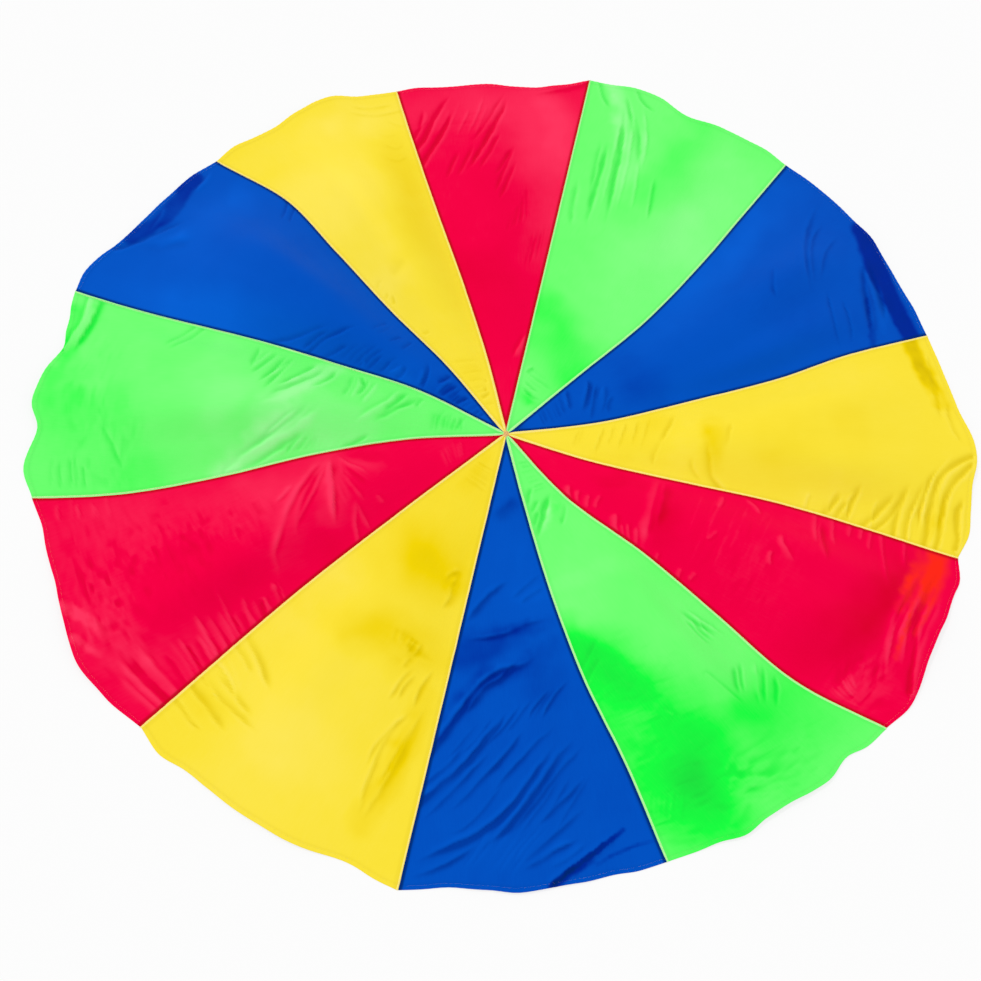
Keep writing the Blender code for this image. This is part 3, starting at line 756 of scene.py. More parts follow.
GORE_11 = Gore(
    Dye.BLUE, .046, .01, (.018, .015, .012, .015, .014), (Fold(.6, .4, .01),),
    nicks=(13, 2, -5, -6, -1, 1, 1, 4, 3),
    creases=(
        *grooves(K.FINE, 1, (5, 16.2, 50, 15.6, 85, 15), (38, 18.7, 70, 18.1, 93, 18.2),
            (2, 20, 30, 21.1, 50, 22.1, 75, 23.7), (2, 26.5, 20, 26, 40, 26.5), (5, 12.5, 50, 12, 85, 11.2)),
        *ridges(K.HAIR, 1.4, (5, 17.2, 50, 17.4, 85, 16.5), (38, 27.5, 25, 27.6, 10, 28.5),
            (16, 34.7, 10, 34.2, 3, 34), (2, 21.5, 30, 22.2, 55, 23.5)),
        *grooves(K.FINE, 1, (1, 42.2, 12, 41, 27, 39.5), (1, 45.8, 20, 44.6, 35, 42.6, 52, 40.8),
            (1, 54.5, 8, 51.5, 20, 48.6, 35, 45.8), (2, 47.5, 20, 46.2, 30, 45)),
        *fan(K.HAIR, 7, (2, 29, 25, 28.8, 50, 28.5), (2, 39, 20, 38, 45, 37), -.8, 4),
        *fan(K.HAIR, 7, (6, 7, 95, 6.5), (5, 14.5, 95, 14), -.9, 2),
        *fan(K.HAIR, 5, (55, 30, 75, 30, 92, 30), (55, 38, 75, 37.5, 92, 37), -.7, 6),
        *ridges(K.SOFT, .4, (36, 96, 45, 91, 52, 87)),
        *grooves(K.SHARP, .6, (28, 99.2, 37, 96.6, 45, 95, 60, 91.5)),
        *ridges(K.FINE, 1, (95, 98.5, 86, 96.8, 76, 96.2), (62, 98.5, 52, 97.2, 44, 96.8)),
        *grooves(K.HAIR, 1.3, (86, 75.5, 93, 77, 100, 79), (88, 73.5, 94, 75, 100, 76.5)),
    ),
    washes=(pale(.12, .8, (5, 50, 5, 93)), pale(.25, .2, (15, 60, 20, 90)), pale(.06, .6, (2, 26, 30, 27)),
        pale(.1, .3, (20, 88, 95, 88)), deep(.035, .8, (38, 98.8, 55, 96.8, 85, 98.8), .4),
        deep(.05, .45, (10, 16, 90, 15)), deep(.04, .3, (40, 95, 60, 92)), pale(.08, .35, (78, 88, 90, 83))))
GORE_12 = Gore(
    Dye.YELLOW, .036, .008, (.008, .02, .052, .055, .032), (Fold(.4, .45, .008),),
    nicks=(27, 23, 15, 3, -8, -1, 4, -14, -10),
    creases=(
        *grooves(K.HAIR, 1.4, (5, 30.3, 11, 30, 20, 30), (10, 9.5, 50, 9.8, 85, 10.7), (55, 11, 70, 11.8),
            (70, 13, 82, 13.6)),
        *fan(K.HAIR, 8, (8, 8.5, 95, 8), (5, 20, 95, 18), -.7, 3),
        *fan(K.HAIR, 5, (3, 39, 8, 39.5, 13, 41), (3, 45, 9, 46, 15, 47), -1.1, 5),
        *grooves(K.SOFT, .25, (20, 47, 32, 47.2, 46, 48.8)),
        *grooves(K.FINE, .3, (95, 79, 86, 77.5, 76, 78.5), (95, 83, 88, 81.5, 80, 83.5),
            (93, 86.2, 86, 85.8, 80, 87.5), (100, 88.5, 95, 89, 90, 91)),
        *grooves(K.FINE, .4, (100, 93.5, 85, 93, 70, 95), (98, 96, 84, 95.5, 74, 97)),
    ),
    washes=(deep(.1, .45, (62, 42, 76, 60, 83, 84)), deep(.07, .25, (80, 64, 86, 82)),
        pale(.12, .25, (18, 40, 35, 50)), deep(.06, .2, (20, 16, 80, 17)), pale(.22, .4, (20, 60, 25, 90)),
        pale(.1, .4, (50, 93, 95, 91))))

GORES: tuple[Gore, ...] = (GORE_01, GORE_02, GORE_03, GORE_04, GORE_05, GORE_06, GORE_07, GORE_08, GORE_09,
                          GORE_10, GORE_11, GORE_12)


@dataclass(frozen=True)
class Canopy:
    """The plan of the whole canopy, which repeats the frame's own formulas."""

    radius: float = 1.80
    cloth_depth: float = 1.5 * MM
    seam_width: float = 6 * MM
    seam_rise: float = 0.8 * MM
    seam_clearance: float = 0.5 * MM
    hem_width: float = 18 * MM
    hem_thread_inset: float = 5 * MM
    rows: int = 12
    billow_lean: float = 1.4
    billow_fullness: float = 1.5
    rim_rise_start_share: float = 0.6
    fold_seams: tuple[int, int] = (1, 7)
    left_gores: tuple[int, ...] = (7, 8, 9, 10, 11, 0)

    @property
    def hem_share(self) -> float:
        """Give the hem's width as a share of the radius."""
        return self.hem_width / self.radius

    def body(self, gore: int) -> str:
        """Name the body that a gore rides on."""
        return "left_half" if gore in self.left_gores else "right_half"

    def seam_angle(self, index: int) -> float:
        """Give the direction of a seam's rim end, in radians from +X."""
        return math.radians(90 - 360 / len(SEAMS) * (index - self.fold_seams[0])
                            + SEAMS[index].drift_deg)

    def seam_length(self, index: int) -> float:
        """Give a seam's straight length from the crown to the rim."""
        return SEAMS[index].length_share * self.radius

    def seam_centre(self, index: int, share: Array) -> Array:
        """Find points of a seam's middle line.

        Args:
            index: The seam's place in the list.
            share: How far along the seam each point lies.

        Returns:
            The points, on the underside of the cloth.
        """
        seam = SEAMS[index]
        angle = self.seam_angle(index)
        along = np.array([math.cos(angle), math.sin(angle)])
        aside = np.array([-along[1], along[0]])
        bow = smooth_through(seam.bow_shares, share) * self.radius
        flat = (share * self.seam_length(index))[:, None] * along + bow[:, None] * aside
        height = bell(share) * seam.lift_share * self.radius
        return np.column_stack([flat, height])

    def seam_aside(self, index: int, share: Array) -> Array:
        """Find the level direction square to a seam, counter-clockwise.

        Args:
            index: The seam's place in the list.
            share: How far along the seam each point lies.

        Returns:
            One unit vector for each share.
        """
        nudge = 1 / self.rows ** 2
        run = self.seam_centre(index, share + nudge)
        run -= self.seam_centre(index, np.maximum(share - nudge, 0.0))
        aside = np.column_stack([-run[:, 1], run[:, 0], np.zeros(len(share))])
        return aside / np.linalg.norm(aside, axis=1)[:, None]

    def seam_side(self, index: int, share: Array, offset: Array | float) -> Array:
        """Find points beside a seam's middle line, with positive offsets counter-clockwise."""
        shift = np.broadcast_to(np.asarray(offset, float), share.shape)[:, None]
        return self.seam_centre(index, share) + self.seam_aside(index, share) * shift


CANOPY = Canopy()


def soft_noise(place: Array, size: float, seed: int) -> Array:
    """Make smooth noise over a plan.

    Args:
        place: Points on the plan, in metres.
        size: The distance between its random values, in metres.
        seed: Which noise.

    Returns:
        One value from -1 to 1 for each point.
    """
    side = 61
    values = np.random.default_rng(seed).uniform(-1.0, 1.0, (side, side))
    scaled = place / size
    cell = np.floor(scaled).astype(int)
    u = scaled - cell
    u = u * u * (3 - 2 * u)
    i, j = cell[:, 0] % side, cell[:, 1] % side
    low = values[i, j] * (1 - u[:, 0]) + values[(i + 1) % side, j] * u[:, 0]
    following = (j + 1) % side
    high = values[i, following] * (1 - u[:, 0]) + values[(i + 1) % side, following] * u[:, 0]
    return low * (1 - u[:, 1]) + high * u[:, 1]


def finished_object(name: str, mesh: bpy.types.Mesh, material: bpy.types.Material) -> bpy.types.Object:
    """Link a finished mesh as an object at the origin.

    Args:
        name: The piece's name.
        mesh: Its mesh.
        material: Its one material.

    Returns:
        The object.
    """
    mesh.materials.clear()
    mesh.materials.append(material)
    made = bpy.data.objects.new(name, mesh)
    bpy.context.scene.collection.objects.link(made)
    return made


def point_layers(mesh: bpy.types.Mesh, **layers: Any) -> None:
    """Store named numbers on the vertices.

    Args:
        mesh: The mesh.
        layers: By each layer's name, one number for all vertices or one for each.
    """
    for name, values in layers.items():
        filled = np.broadcast_to(np.asarray(values, np.float32).ravel(), len(mesh.vertices))
        mesh.attributes.new(name, "FLOAT", "POINT").data.foreach_set("value", np.ascontiguousarray(filled))


def grid_faces(rows: int, columns: int, start: int, flipped: bool) -> Array:
    """List the faces of a grid of vertices.

    Args:
        rows: Rows of vertices.
        columns: Vertices in a row.
        start: The first vertex's number.
        flipped: Whether the faces point the other way.

    Returns:
        Four vertex numbers for each face.
    """
    first = start + (np.arange(rows - 1)[:, None] * columns + np.arange(columns - 1)[None, :]).ravel()
    faces = np.column_stack([first, first + 1, first + columns + 1, first + columns])
    return faces[:, ::-1] if flipped else faces


def closed_sheet(name: str, lower: Array, upper: Array) -> bpy.types.Mesh:
    """Join two like grids of points into one closed sheet.

    Args:
        name: The mesh's name.
        lower: Rows by columns of points on the underside.
        upper: The same on the top.

    Returns:
        The mesh, the underside's vertices first.
    """
    rows, columns = lower.shape[:2]
    count = rows * columns
    numbers = np.arange(count).reshape(rows, columns)
    loop = np.concatenate([numbers[0], numbers[1:, -1], numbers[-1, -2::-1], numbers[-2:0:-1, 0]])
    after = np.roll(loop, -1)
    walls = np.column_stack([loop, after, after + count, loop + count])
    faces = np.concatenate([grid_faces(rows, columns, 0, True),
                            grid_faces(rows, columns, count, False), walls])
    points = np.concatenate([lower.reshape(-1, 3), upper.reshape(-1, 3)])
    mesh = bpy.data.meshes.new(name)
    mesh.from_pydata(points.tolist(), [], faces.tolist())
    mesh.shade_smooth()
    mesh.set_sharp_from_angle(angle=math.radians(50))
    return mesh


def tube_mesh(name: str, middle: Array, aside: Array, half_width: Array,
              half_depth: Array, sides: int = 8) -> bpy.types.Mesh:
    """Sweep an oval along a line, closed at both ends.

    Args:
        name: The mesh's name.
        middle: Points along the line.
        aside: The level direction square to the line at each point.
        half_width: Half the oval's width at each point.
        half_depth: Half its depth at each point.
        sides: Points round the oval.

    Returns:
        The closed mesh.
    """
    turn = 2 * np.pi * np.arange(sides) / sides
    wide = aside[:, None, :] * (np.cos(turn)[None, :, None] * half_width[:, None, None])
    deep = UP * (np.sin(turn)[None, :, None] * half_depth[:, None, None])
    points = (middle[:, None, :] + wide + deep).reshape(-1, 3)
    rings = len(middle)
    first = (np.arange(rings - 1)[:, None] * sides + np.arange(sides)[None, :]).ravel()
    beside = (np.arange(rings - 1)[:, None] * sides + (np.arange(sides)[None, :] + 1) % sides).ravel()
    faces = np.column_stack([first, beside, beside + sides, first + sides]).tolist()
    faces.append(list(range(sides))[::-1])
    faces.append([(rings - 1) * sides + k for k in range(sides)])
    mesh = bpy.data.meshes.new(name)
    mesh.from_pydata(points.tolist(), [], faces)
    outward = bmesh.new()
    outward.from_mesh(mesh)
    bmesh.ops.recalc_face_normals(outward, faces=outward.faces[:])
    outward.to_mesh(mesh)
    outward.free()
    mesh.shade_smooth()
    mesh.set_sharp_from_angle(angle=math.radians(60))
    return mesh


def line_places(path: Sequence[Place], samples: int = 22) -> Array:
    """Draw a smooth line through a few places on a gore.

    Args:
        path: The places, across and along.
        samples: How many points to draw.

    Returns:
        Places at even steps, across and along.
    """
    steps = np.linspace(0.0, 1.0, samples)
    both = [smooth_through([place[k] for place in path], steps, closed=False) for k in (0, 1)]
    return np.column_stack(both)


def beside_line(plan: Array, line: Array) -> tuple[Array, Array, Array]:
    """Measure points on the floor plan against a line.

    Args:
        plan: The points.
        line: The line's own points.

    Returns:
        Each point's distance from the line, how far along the line it lies from 0 to 1, and
        its side, positive on the left.
    """
    start, run = line[:-1], np.diff(line, axis=0)
    lengths = np.maximum(np.linalg.norm(run, axis=1), 1e-6)
    reached = np.concatenate([[0.0], np.cumsum(lengths)])
    away = plan[:, None, :] - start[None, :, :]
    share = np.clip((away * run).sum(2) / lengths ** 2, 0.0, 1.0)
    gap = away - share[:, :, None] * run[None, :, :]
    distance = np.linalg.norm(gap, axis=2)
    nearest = distance.argmin(1)
    row = np.arange(len(nearest))
    side = run[nearest, 0] * gap[row, nearest, 1] - run[nearest, 1] * gap[row, nearest, 0]
    along = (reached[nearest] + share[row, nearest] * lengths[nearest]) / reached[-1]
    return distance[row, nearest], along, side


@dataclass(frozen=True)
class CreaseShape:
    """How every crease is shaped, in shares of its own half width or length."""

    steep_share: float = 0.55
    gentle_share: float = 1.25
    trough_share: float = 0.40
    trough_place: float = 2.1
    run_out_share: float = 0.30
    reach: float = 3.2
    stray_share: float = 0.22
    stray_size: float = 30 * MM

    def height(self, plan: Array, line: Array, crease: Crease, open_ends: tuple[bool, bool],
               wander: Array) -> Array:
        """Work out how high one crease lifts the cloth.

        Args:
            plan: Points on the floor plan.
            line: The crease's own line on the plan.
            crease: Its kind and amount.
            open_ends: Whether it keeps its height at its start and at its end.
            wander: A small random change of height at each point.

        Returns:
            The lift at each point, in metres.
        """
        height, half_width = crease.kind.value
        near = np.all((plan > line.min(0) - self.reach * half_width)
                      & (plan < line.max(0) + self.reach * half_width), axis=1)
        lift = np.zeros(len(plan))
        if not near.any():
            return lift
        stray = np.column_stack([soft_noise(plan[near], self.stray_size, k) for k in (1, 2)])
        distance, along, across = beside_line(plan[near] + self.stray_share * half_width * stray, line)
        run_in = 1.0 if open_ends[0] else smooth_step(along, 0.0, self.run_out_share)
        run_out = 1.0 if open_ends[1] else smooth_step(1 - along, 0.0, self.run_out_share)
        strength = run_in * run_out
        width = half_width * (0.6 + 0.4 * strength)
        side = np.where(across < 0, self.steep_share, self.gentle_share)
        crest = np.exp(-(distance / (width * side)) ** 2)
        trough = np.exp(-((distance / width - self.trough_place * self.steep_share) / 0.7) ** 2)
        crest -= np.where(across < 0, self.trough_share, 0.0) * trough * smooth_step(distance / width)
        lift[near] = crease.amount * height * strength * crest * (1 + 0.5 * wander[near])
        return lift


@dataclass
class GoreCloth:
    """One gore's sheet of taffeta with its turned hem."""

    index: int
    columns: int = 124
    first_column: float = 0.018
    rows: int = 246
    seed: int = 40
    depth: float = 0.8 * MM
    under_gap: float = 0.35 * MM
    hem_step: float = 2 * MM
    tip_radius: float = 9 * MM
    tuck: float = 2.2 * MM
    tuck_share: float = 0.2
    edge_fade: float = 9 * MM
    floor_rounding: float = 0.4 * MM
    wander_size: float = 70 * MM
    swell_height: float = 2.2 * MM
    swell_size: float = 190 * MM
    pucker_height: float = 0.8 * MM
    pucker_pitch: float = 30 * MM
    pucker_reach: float = 26 * MM
    pucker_drift: float = 90 * MM
    pucker_change: float = 120 * MM
    hem_pucker: float = 0.7 * MM
    hem_pucker_pitch: float = 24 * MM
    crumple_height: float = 3.0 * MM
    crumple_size: float = 16 * MM
    crumple_stretch: float = 3.0
    rim_waver: float = 3.5 * MM
    rim_wavers: int = 9
    rim_waver_power: int = 14
    # These set the painted highlight on crease ridges and the painted shade in grooves, beside the seams,
    # near the crown and along the hem's stitches.
    marked_height: float = 4.0 * MM
    lit_tone: float = 0.32
    shaded_tone: float = 0.24
    shaded_ditch: float = 0.30
    level_ditch: float = 0.12
    ditch_reach: tuple[float, float] = (7.5 * MM, 17 * MM)
    tip_ditch: float = 0.35
    tip_ditch_reach: tuple[float, float] = (90 * MM, 20 * MM)
    stitch_ditch: float = 0.12
    stitch_ditch_width: float = 3 * MM
    shape: CreaseShape = CreaseShape()

    @property
    def gore(self) -> Gore:
        """Give the gore's own figures."""
        return GORES[self.index]

    @property
    def following(self) -> int:
        """Give the next seam clockwise."""
        return (self.index + 1) % len(SEAMS)

    @property
    def name(self) -> str:
        """Name the piece for its place and colour."""
        return f"gore_{self.index + 1:02d}_{self.gore.dye.value.name}_cloth"

    def across_shares(self) -> Array:
        """Place the columns, closer together beside the seams.

        Returns:
            Shares of the width, from 0 to 1.
        """
        beside = np.array([0.0, 0.0022, 0.0046, 0.0075, 0.0115])
        middle = np.linspace(self.first_column, 1 - self.first_column, self.columns)
        return np.concatenate([beside, middle, 1 - beside[::-1]])

    def along_shares(self) -> Array:
        """Place the rows, with some of their own for the hem's step and rolled edge.

        Returns:
            Shares of the length, from 0 to 1.
        """
        cloth = np.linspace(0.0, 1 - CANOPY.hem_share - self.hem_step / CANOPY.radius, self.rows)
        turned = 1 - CANOPY.hem_share * np.array([1.0, 0.8, 0.6, 0.4, 0.2, 0.07, 0.0])
        return np.concatenate([cloth, turned])

    def edge_offset(self, seam: int, share: Array) -> Array:
        """Find how far from a seam's middle line the cloth's edge lies.

        Args:
            seam: The seam's place in the list.
            share: How far along the seam.

        Returns:
            The distance at each share. At the fold line the left half keeps clear.
        """
        full = self.tuck
        if seam in CANOPY.fold_seams and self.index in CANOPY.left_gores:
            full = CANOPY.seam_width / 2 + CANOPY.seam_clearance
        return np.minimum(full, self.tuck_share * share * CANOPY.seam_length(seam))

    def seam_share(self, seam: int, along: Array) -> Array:
        """Turn a place along the gore to a place along one of its seams."""
        start = self.tip_radius / CANOPY.seam_length(seam)
        return start + (1 - start) * along

    def plan(self, along: Array, across: Array) -> Array:
        """Find points of the smooth cloth, without its creases.

        Args:
            along: Their places along the gore.
            across: Their places across it.

        Returns:
            The points, on the underside.
        """
        sides, ends = [], []
        for seam, way in ((self.index, -1), (self.following, 1)):
            share = self.seam_share(seam, along)
            sides.append(CANOPY.seam_side(seam, share, way * self.edge_offset(seam, share)))
            ends.append(CANOPY.seam_centre(seam, np.ones(1))[0])
        chord = ends[1] - ends[0]
        outward = np.array([-chord[1], chord[0], 0.0]) / np.linalg.norm(chord[:2])
        bulge = smooth_through(self.gore.rim_shares, across) * along ** len(self.gore.rim_shares)
        rim_places = np.column_stack([across * self.rim_wavers, along * 0 + self.index])
        waver = self.rim_waver * soft_noise(rim_places, 1.0, self.seed) * smooth_step(bell(across), 0, 0.2)
        waver += smooth_through(self.gore.nicks, across) * MM
        push = bulge * CANOPY.radius + waver * along ** self.rim_waver_power
        points = sides[0] + (sides[1] - sides[0]) * across[:, None] + push[:, None] * outward
        points[:, 2] += self.billow(along, across)
        return points

    def floor_line(self, path: Sequence[Place]) -> Array:
        """Draw a smooth line through a path's places, on the floor plan."""
        return self.plan(*line_places(path).T[::-1])[:, :2]

    def billow(self, along: Array, across: Array) -> Array:
        """Find how high trapped air and main folds lift the cloth above its seams.

        Args:
            along: Places along the gore.
            across: Places across it.

        Returns:
            The lift at each place.
        """
        pillow = self.gore.loft_share * bell(along ** CANOPY.billow_lean)
        pillow *= np.sin(np.pi * np.clip(across, 0.0, 1.0)) ** CANOPY.billow_fullness
        start = CANOPY.rim_rise_start_share
        rim = self.gore.rim_rise_share * smooth_step(along, start, 1.0) * bell(across)
        folds = np.zeros_like(pillow)
        for fold in self.gore.folds:
            run = (along - fold.start_share) / (fold.end_share - fold.start_share)
            aside = (across - fold.across_share) / (2 * fold.half_width_share) + 0.5
            folds += fold.height_share * bell(run) * bell(aside)
        return (pillow + rim + folds) * CANOPY.radius

    def width(self, along: Array) -> Array:
        """Find the gore's width at each place along it."""
        sides = [self.plan(along, np.full_like(along, edge)) for edge in (0.0, 1.0)]
        return np.linalg.norm(sides[1] - sides[0], axis=1)

    def patches(self, along: Array, across: Array) -> Array:
        """Find how crumpled the cloth is.

        Args:
            along: Places along the gore.
            across: Places across it.

        Returns:
            The share of the full crumples at each place.
        """
        total = np.zeros_like(along)
        for patch in self.gore.crumples:
            total += patch.amount * np.exp(-((across - patch.across) / patch.half_across) ** 2
                                           - ((along - patch.along) / patch.half_along) ** 2)
        return total

    def relief(self, points: Array, along: Array, across: Array, width: Array) -> tuple[Array, Array]:
        """Work out all creases, puckers and crumples.

        Args:
            points: The smooth cloth's points.
            along: Their places along the gore.
            across: Their places across it.
            width: The gore's width there.

        Returns:
            The lift at each point, in metres, and the creases' own part of it.
        """
        plan = points[:, :2]
        seed = self.seed + 10 * self.index
        wander = soft_noise(plan, self.wander_size, seed)
        lift = self.swell_height * soft_noise(plan, self.swell_size, seed + 1) * smooth_step(along, 0.08, 0.3)
        lift *= smooth_step(bell(across), 0.0, 0.5)
        creased = np.zeros(len(plan))
        for crease in self.gore.creases:
            open_ends = tuple(self.runs_on(crease.path[k]) for k in (0, -1))
            creased += self.shape.height(plan, self.floor_line(crease.path), crease, open_ends, wander)
        crumpled = self.crumpled(along, across, width) * self.patches(along, across)
        creased += self.crumple_height * crumpled
        fade = smooth_step(along, 0.0, 0.04)
        for seam_side, shift in ((across, 0.0), (1 - across, 0.5)):
            distance = seam_side * width
            run = along * CANOPY.radius / self.pucker_pitch + soft_noise(plan, self.pucker_drift, seed + 4)
            strength = 0.6 + 0.7 * soft_noise(plan, self.pucker_change, seed + 5)
            waves = np.sin(2 * np.pi * (run + shift)) * strength
            lift += self.pucker_height * waves * np.exp(-distance / self.pucker_reach)
            fade = fade * smooth_step(distance, 0.0, self.edge_fade)
        in_hem = smooth_step(along, 1 - 1.5 * CANOPY.hem_share, 1.0)
        ropes = np.sin(2 * np.pi * (across * width / self.hem_pucker_pitch + 30 * along))
        lift += self.hem_pucker * ropes * in_hem
        return (lift + creased) * fade, creased * fade

    def crumpled(self, along: Array, across: Array, width: Array) -> Array:
        """Make the many small creases of crumpled cloth, which run about across the gore.

        Args:
            along: Places along the gore.
            across: Places across it.
            width: The gore's width there.

        Returns:
            A height for each place, from about -1 to 1.
        """
        flat = np.column_stack([(across - 0.5) * width / self.crumple_stretch, along * CANOPY.radius])
        seed = self.seed + 10 * self.index
        stray = np.column_stack([soft_noise(flat, 3 * self.crumple_size, seed + k) for k in (2, 3)])
        flat = flat + 0.8 * self.crumple_size * stray
        large = soft_noise(flat, self.crumple_size, seed + 4)
        small = soft_noise(flat[:, ::-1], 0.55 * self.crumple_size, seed + 5)
        return 0.3 - np.abs(large) + 0.7 * large + 0.4 * small

    def runs_on(self, place: Place) -> bool:
        """Tell whether a crease's end lies on the gore's edge, where it keeps its height."""
        return not 0.015 < place[0] < 0.985 or place[1] > 0.985

    def surface(self, along: Array, across: Array) -> tuple[Array, Array]:
        """Find points of the creased cloth's underside, off the floor.

        Args:
            along: Their places along the gore.
            across: Their places across it.

        Returns:
            The points, and how high the creases alone lift them.
        """
        points = self.plan(along, across)
        lift, creased = self.relief(points, along, across, self.width(along))
        height = points[:, 2] + lift
        points[:, 2] = (height + np.sqrt(height ** 2 + self.floor_rounding ** 2)) / 2
        return points, creased

    def layers(self, along: Array) -> tuple[Array, Array]:
        """Find how deep the cloth is and how far it lies off its underside line.

        Args:
            along: Places along the gore.

        Returns:
            The gap under the cloth and its depth, both larger or smaller in the turned hem.
        """
        start = 1 - CANOPY.hem_share
        turned = smooth_step(along, start - self.hem_step / CANOPY.radius, start)
        rolled = smooth_step(along, 1 - 0.05 * CANOPY.hem_share, 1.0)
        gap = self.under_gap * (1 - turned + rolled)
        depth = self.depth * (1 - turned) + CANOPY.cloth_depth * turned - 3 * self.under_gap * rolled
        return gap, depth

    def ditch(self, along: Array, across: Array, width: Array) -> Array:
        """Paint shade beside the seams, strongest next to a paler gore, and along the hem's stitches.

        Args:
            along: Places along the gore.
            across: Places across it.
            width: The gore's width there.

        Returns:
            How deep the mark is at each place, from 0 to 1.
        """
        own, before, after = (PALE_ORDER.index(GORES[k].dye)
                              for k in (self.index, self.index - 1, self.following))
        marked = np.zeros_like(along)
        for neighbour, distance in ((before, across * width), (after, (1 - across) * width)):
            amount = 1.0 if own < neighbour else self.level_ditch
            marked += amount * (1 - smooth_step(distance, *self.ditch_reach))
            # The painted shade also grows toward the crown.
            marked += self.tip_ditch * amount * smooth_step(along * CANOPY.radius, *self.tip_ditch_reach)
        stitched = 1 - (CANOPY.hem_width - 1 * MM) / CANOPY.radius
        past = (along - stitched) * CANOPY.radius / self.stitch_ditch_width
        return np.clip(marked + self.stitch_ditch * np.exp(-past ** 2), 0.0, 1.0)

    def strokes(self, washes: Sequence[Wash], plan: Array) -> Array:
        """Add up soft strokes.

        Args:
            washes: The strokes.
            plan: Points on the floor plan.

        Returns:
            The sum at each point.
        """
        total = np.zeros(len(plan))
        for wash in washes:
            size = wash.half_width
            strayed = [soft_noise(plan, 1.8 * size, self.seed + k)
                       + 0.5 * soft_noise(plan, 0.7 * size, self.seed + k + 2) for k in (11, 12)]
            shift = 0.45 * wash.softness * size * np.column_stack(strayed)
            distance, run, _ = beside_line(plan + shift, self.floor_line(wash.path))
            spread = 0.9 * wash.softness
            stroke = wash.amount * (1 - smooth_step(distance / size, 1 - spread, 1 + spread))
            for end, left in ((0, run), (-1, 1 - run)):
                if not self.runs_on(wash.path[end]):
                    stroke *= 0.4 + 0.6 * smooth_step(left, 0.0, 0.4)
            total += stroke * (1 + 0.35 * wash.softness * strayed[0])
        return total

    def tone(self, plan: Array) -> Array:
        """Find how pale the cloth is: random clouds of dye tone plus the washes, which are partly
        painted light and painted shade.

        Args:
            plan: Points on the floor plan.

        Returns:
            The tone at each point, 0.5 where it is plain.
        """
        clouds = sum(share * soft_noise(plan, size, self.seed + 7 + k)
                     for k, (share, size) in enumerate(((1.0, 0.30), (0.5, 0.11), (0.4, 0.04))))
        return 0.5 + 0.5 * self.strokes(self.gore.washes, plan) + 0.04 * clouds

    def build(self) -> bpy.types.Object:
        """Build the sheet with its flat-cut UV map and its layers of tone with painted light and
        shade, painted glow and painted shade.

        Returns:
            The finished object.
        """
        rows, columns = self.along_shares(), self.across_shares()
        along, across = (part.ravel() for part in np.meshgrid(rows, columns, indexing="ij"))
        width = self.width(along)
        lower, creased = self.surface(along, across)
        gap, depth = self.layers(along)
        lower[:, 2] += gap
        upper = lower + UP * depth[:, None]
        shape = (len(rows), len(columns), 3)
        mesh = closed_sheet(self.name, lower.reshape(shape), upper.reshape(shape))
        # Crease ridges get a painted highlight and grooves a painted shade; deep washes spill into painted
        # shade.
        marked = np.clip(creased / self.marked_height, -1.0, 1.0)
        tone = self.tone(lower[:, :2])
        ditch = self.ditch(along, across, width) + self.shaded_ditch * np.maximum(-marked, 0.0)
        ditch += np.maximum(-tone, 0.0)
        tone += np.where(marked > 0, self.lit_tone, self.shaded_tone) * marked
        glow = self.strokes(self.gore.painted_glows, lower[:, :2])
        both_faces = {name: np.tile(np.clip(values, 0.0, 1.0), 2)
                      for name, values in (("tone", tone), ("glow", glow), ("ditch", ditch))}
        point_layers(mesh, **both_faces)
        flat = np.tile(np.column_stack([(across - 0.5) * width, along * CANOPY.radius]), (2, 1))
        corners = np.zeros(len(mesh.loops), np.int32)
        mesh.loops.foreach_get("vertex_index", corners)
        mesh.uv_layers.new(name="Flat cut").data.foreach_set("uv", flat[corners].astype(np.float32).ravel())
        return finished_object(self.name, mesh, self.gore.dye.value.material())


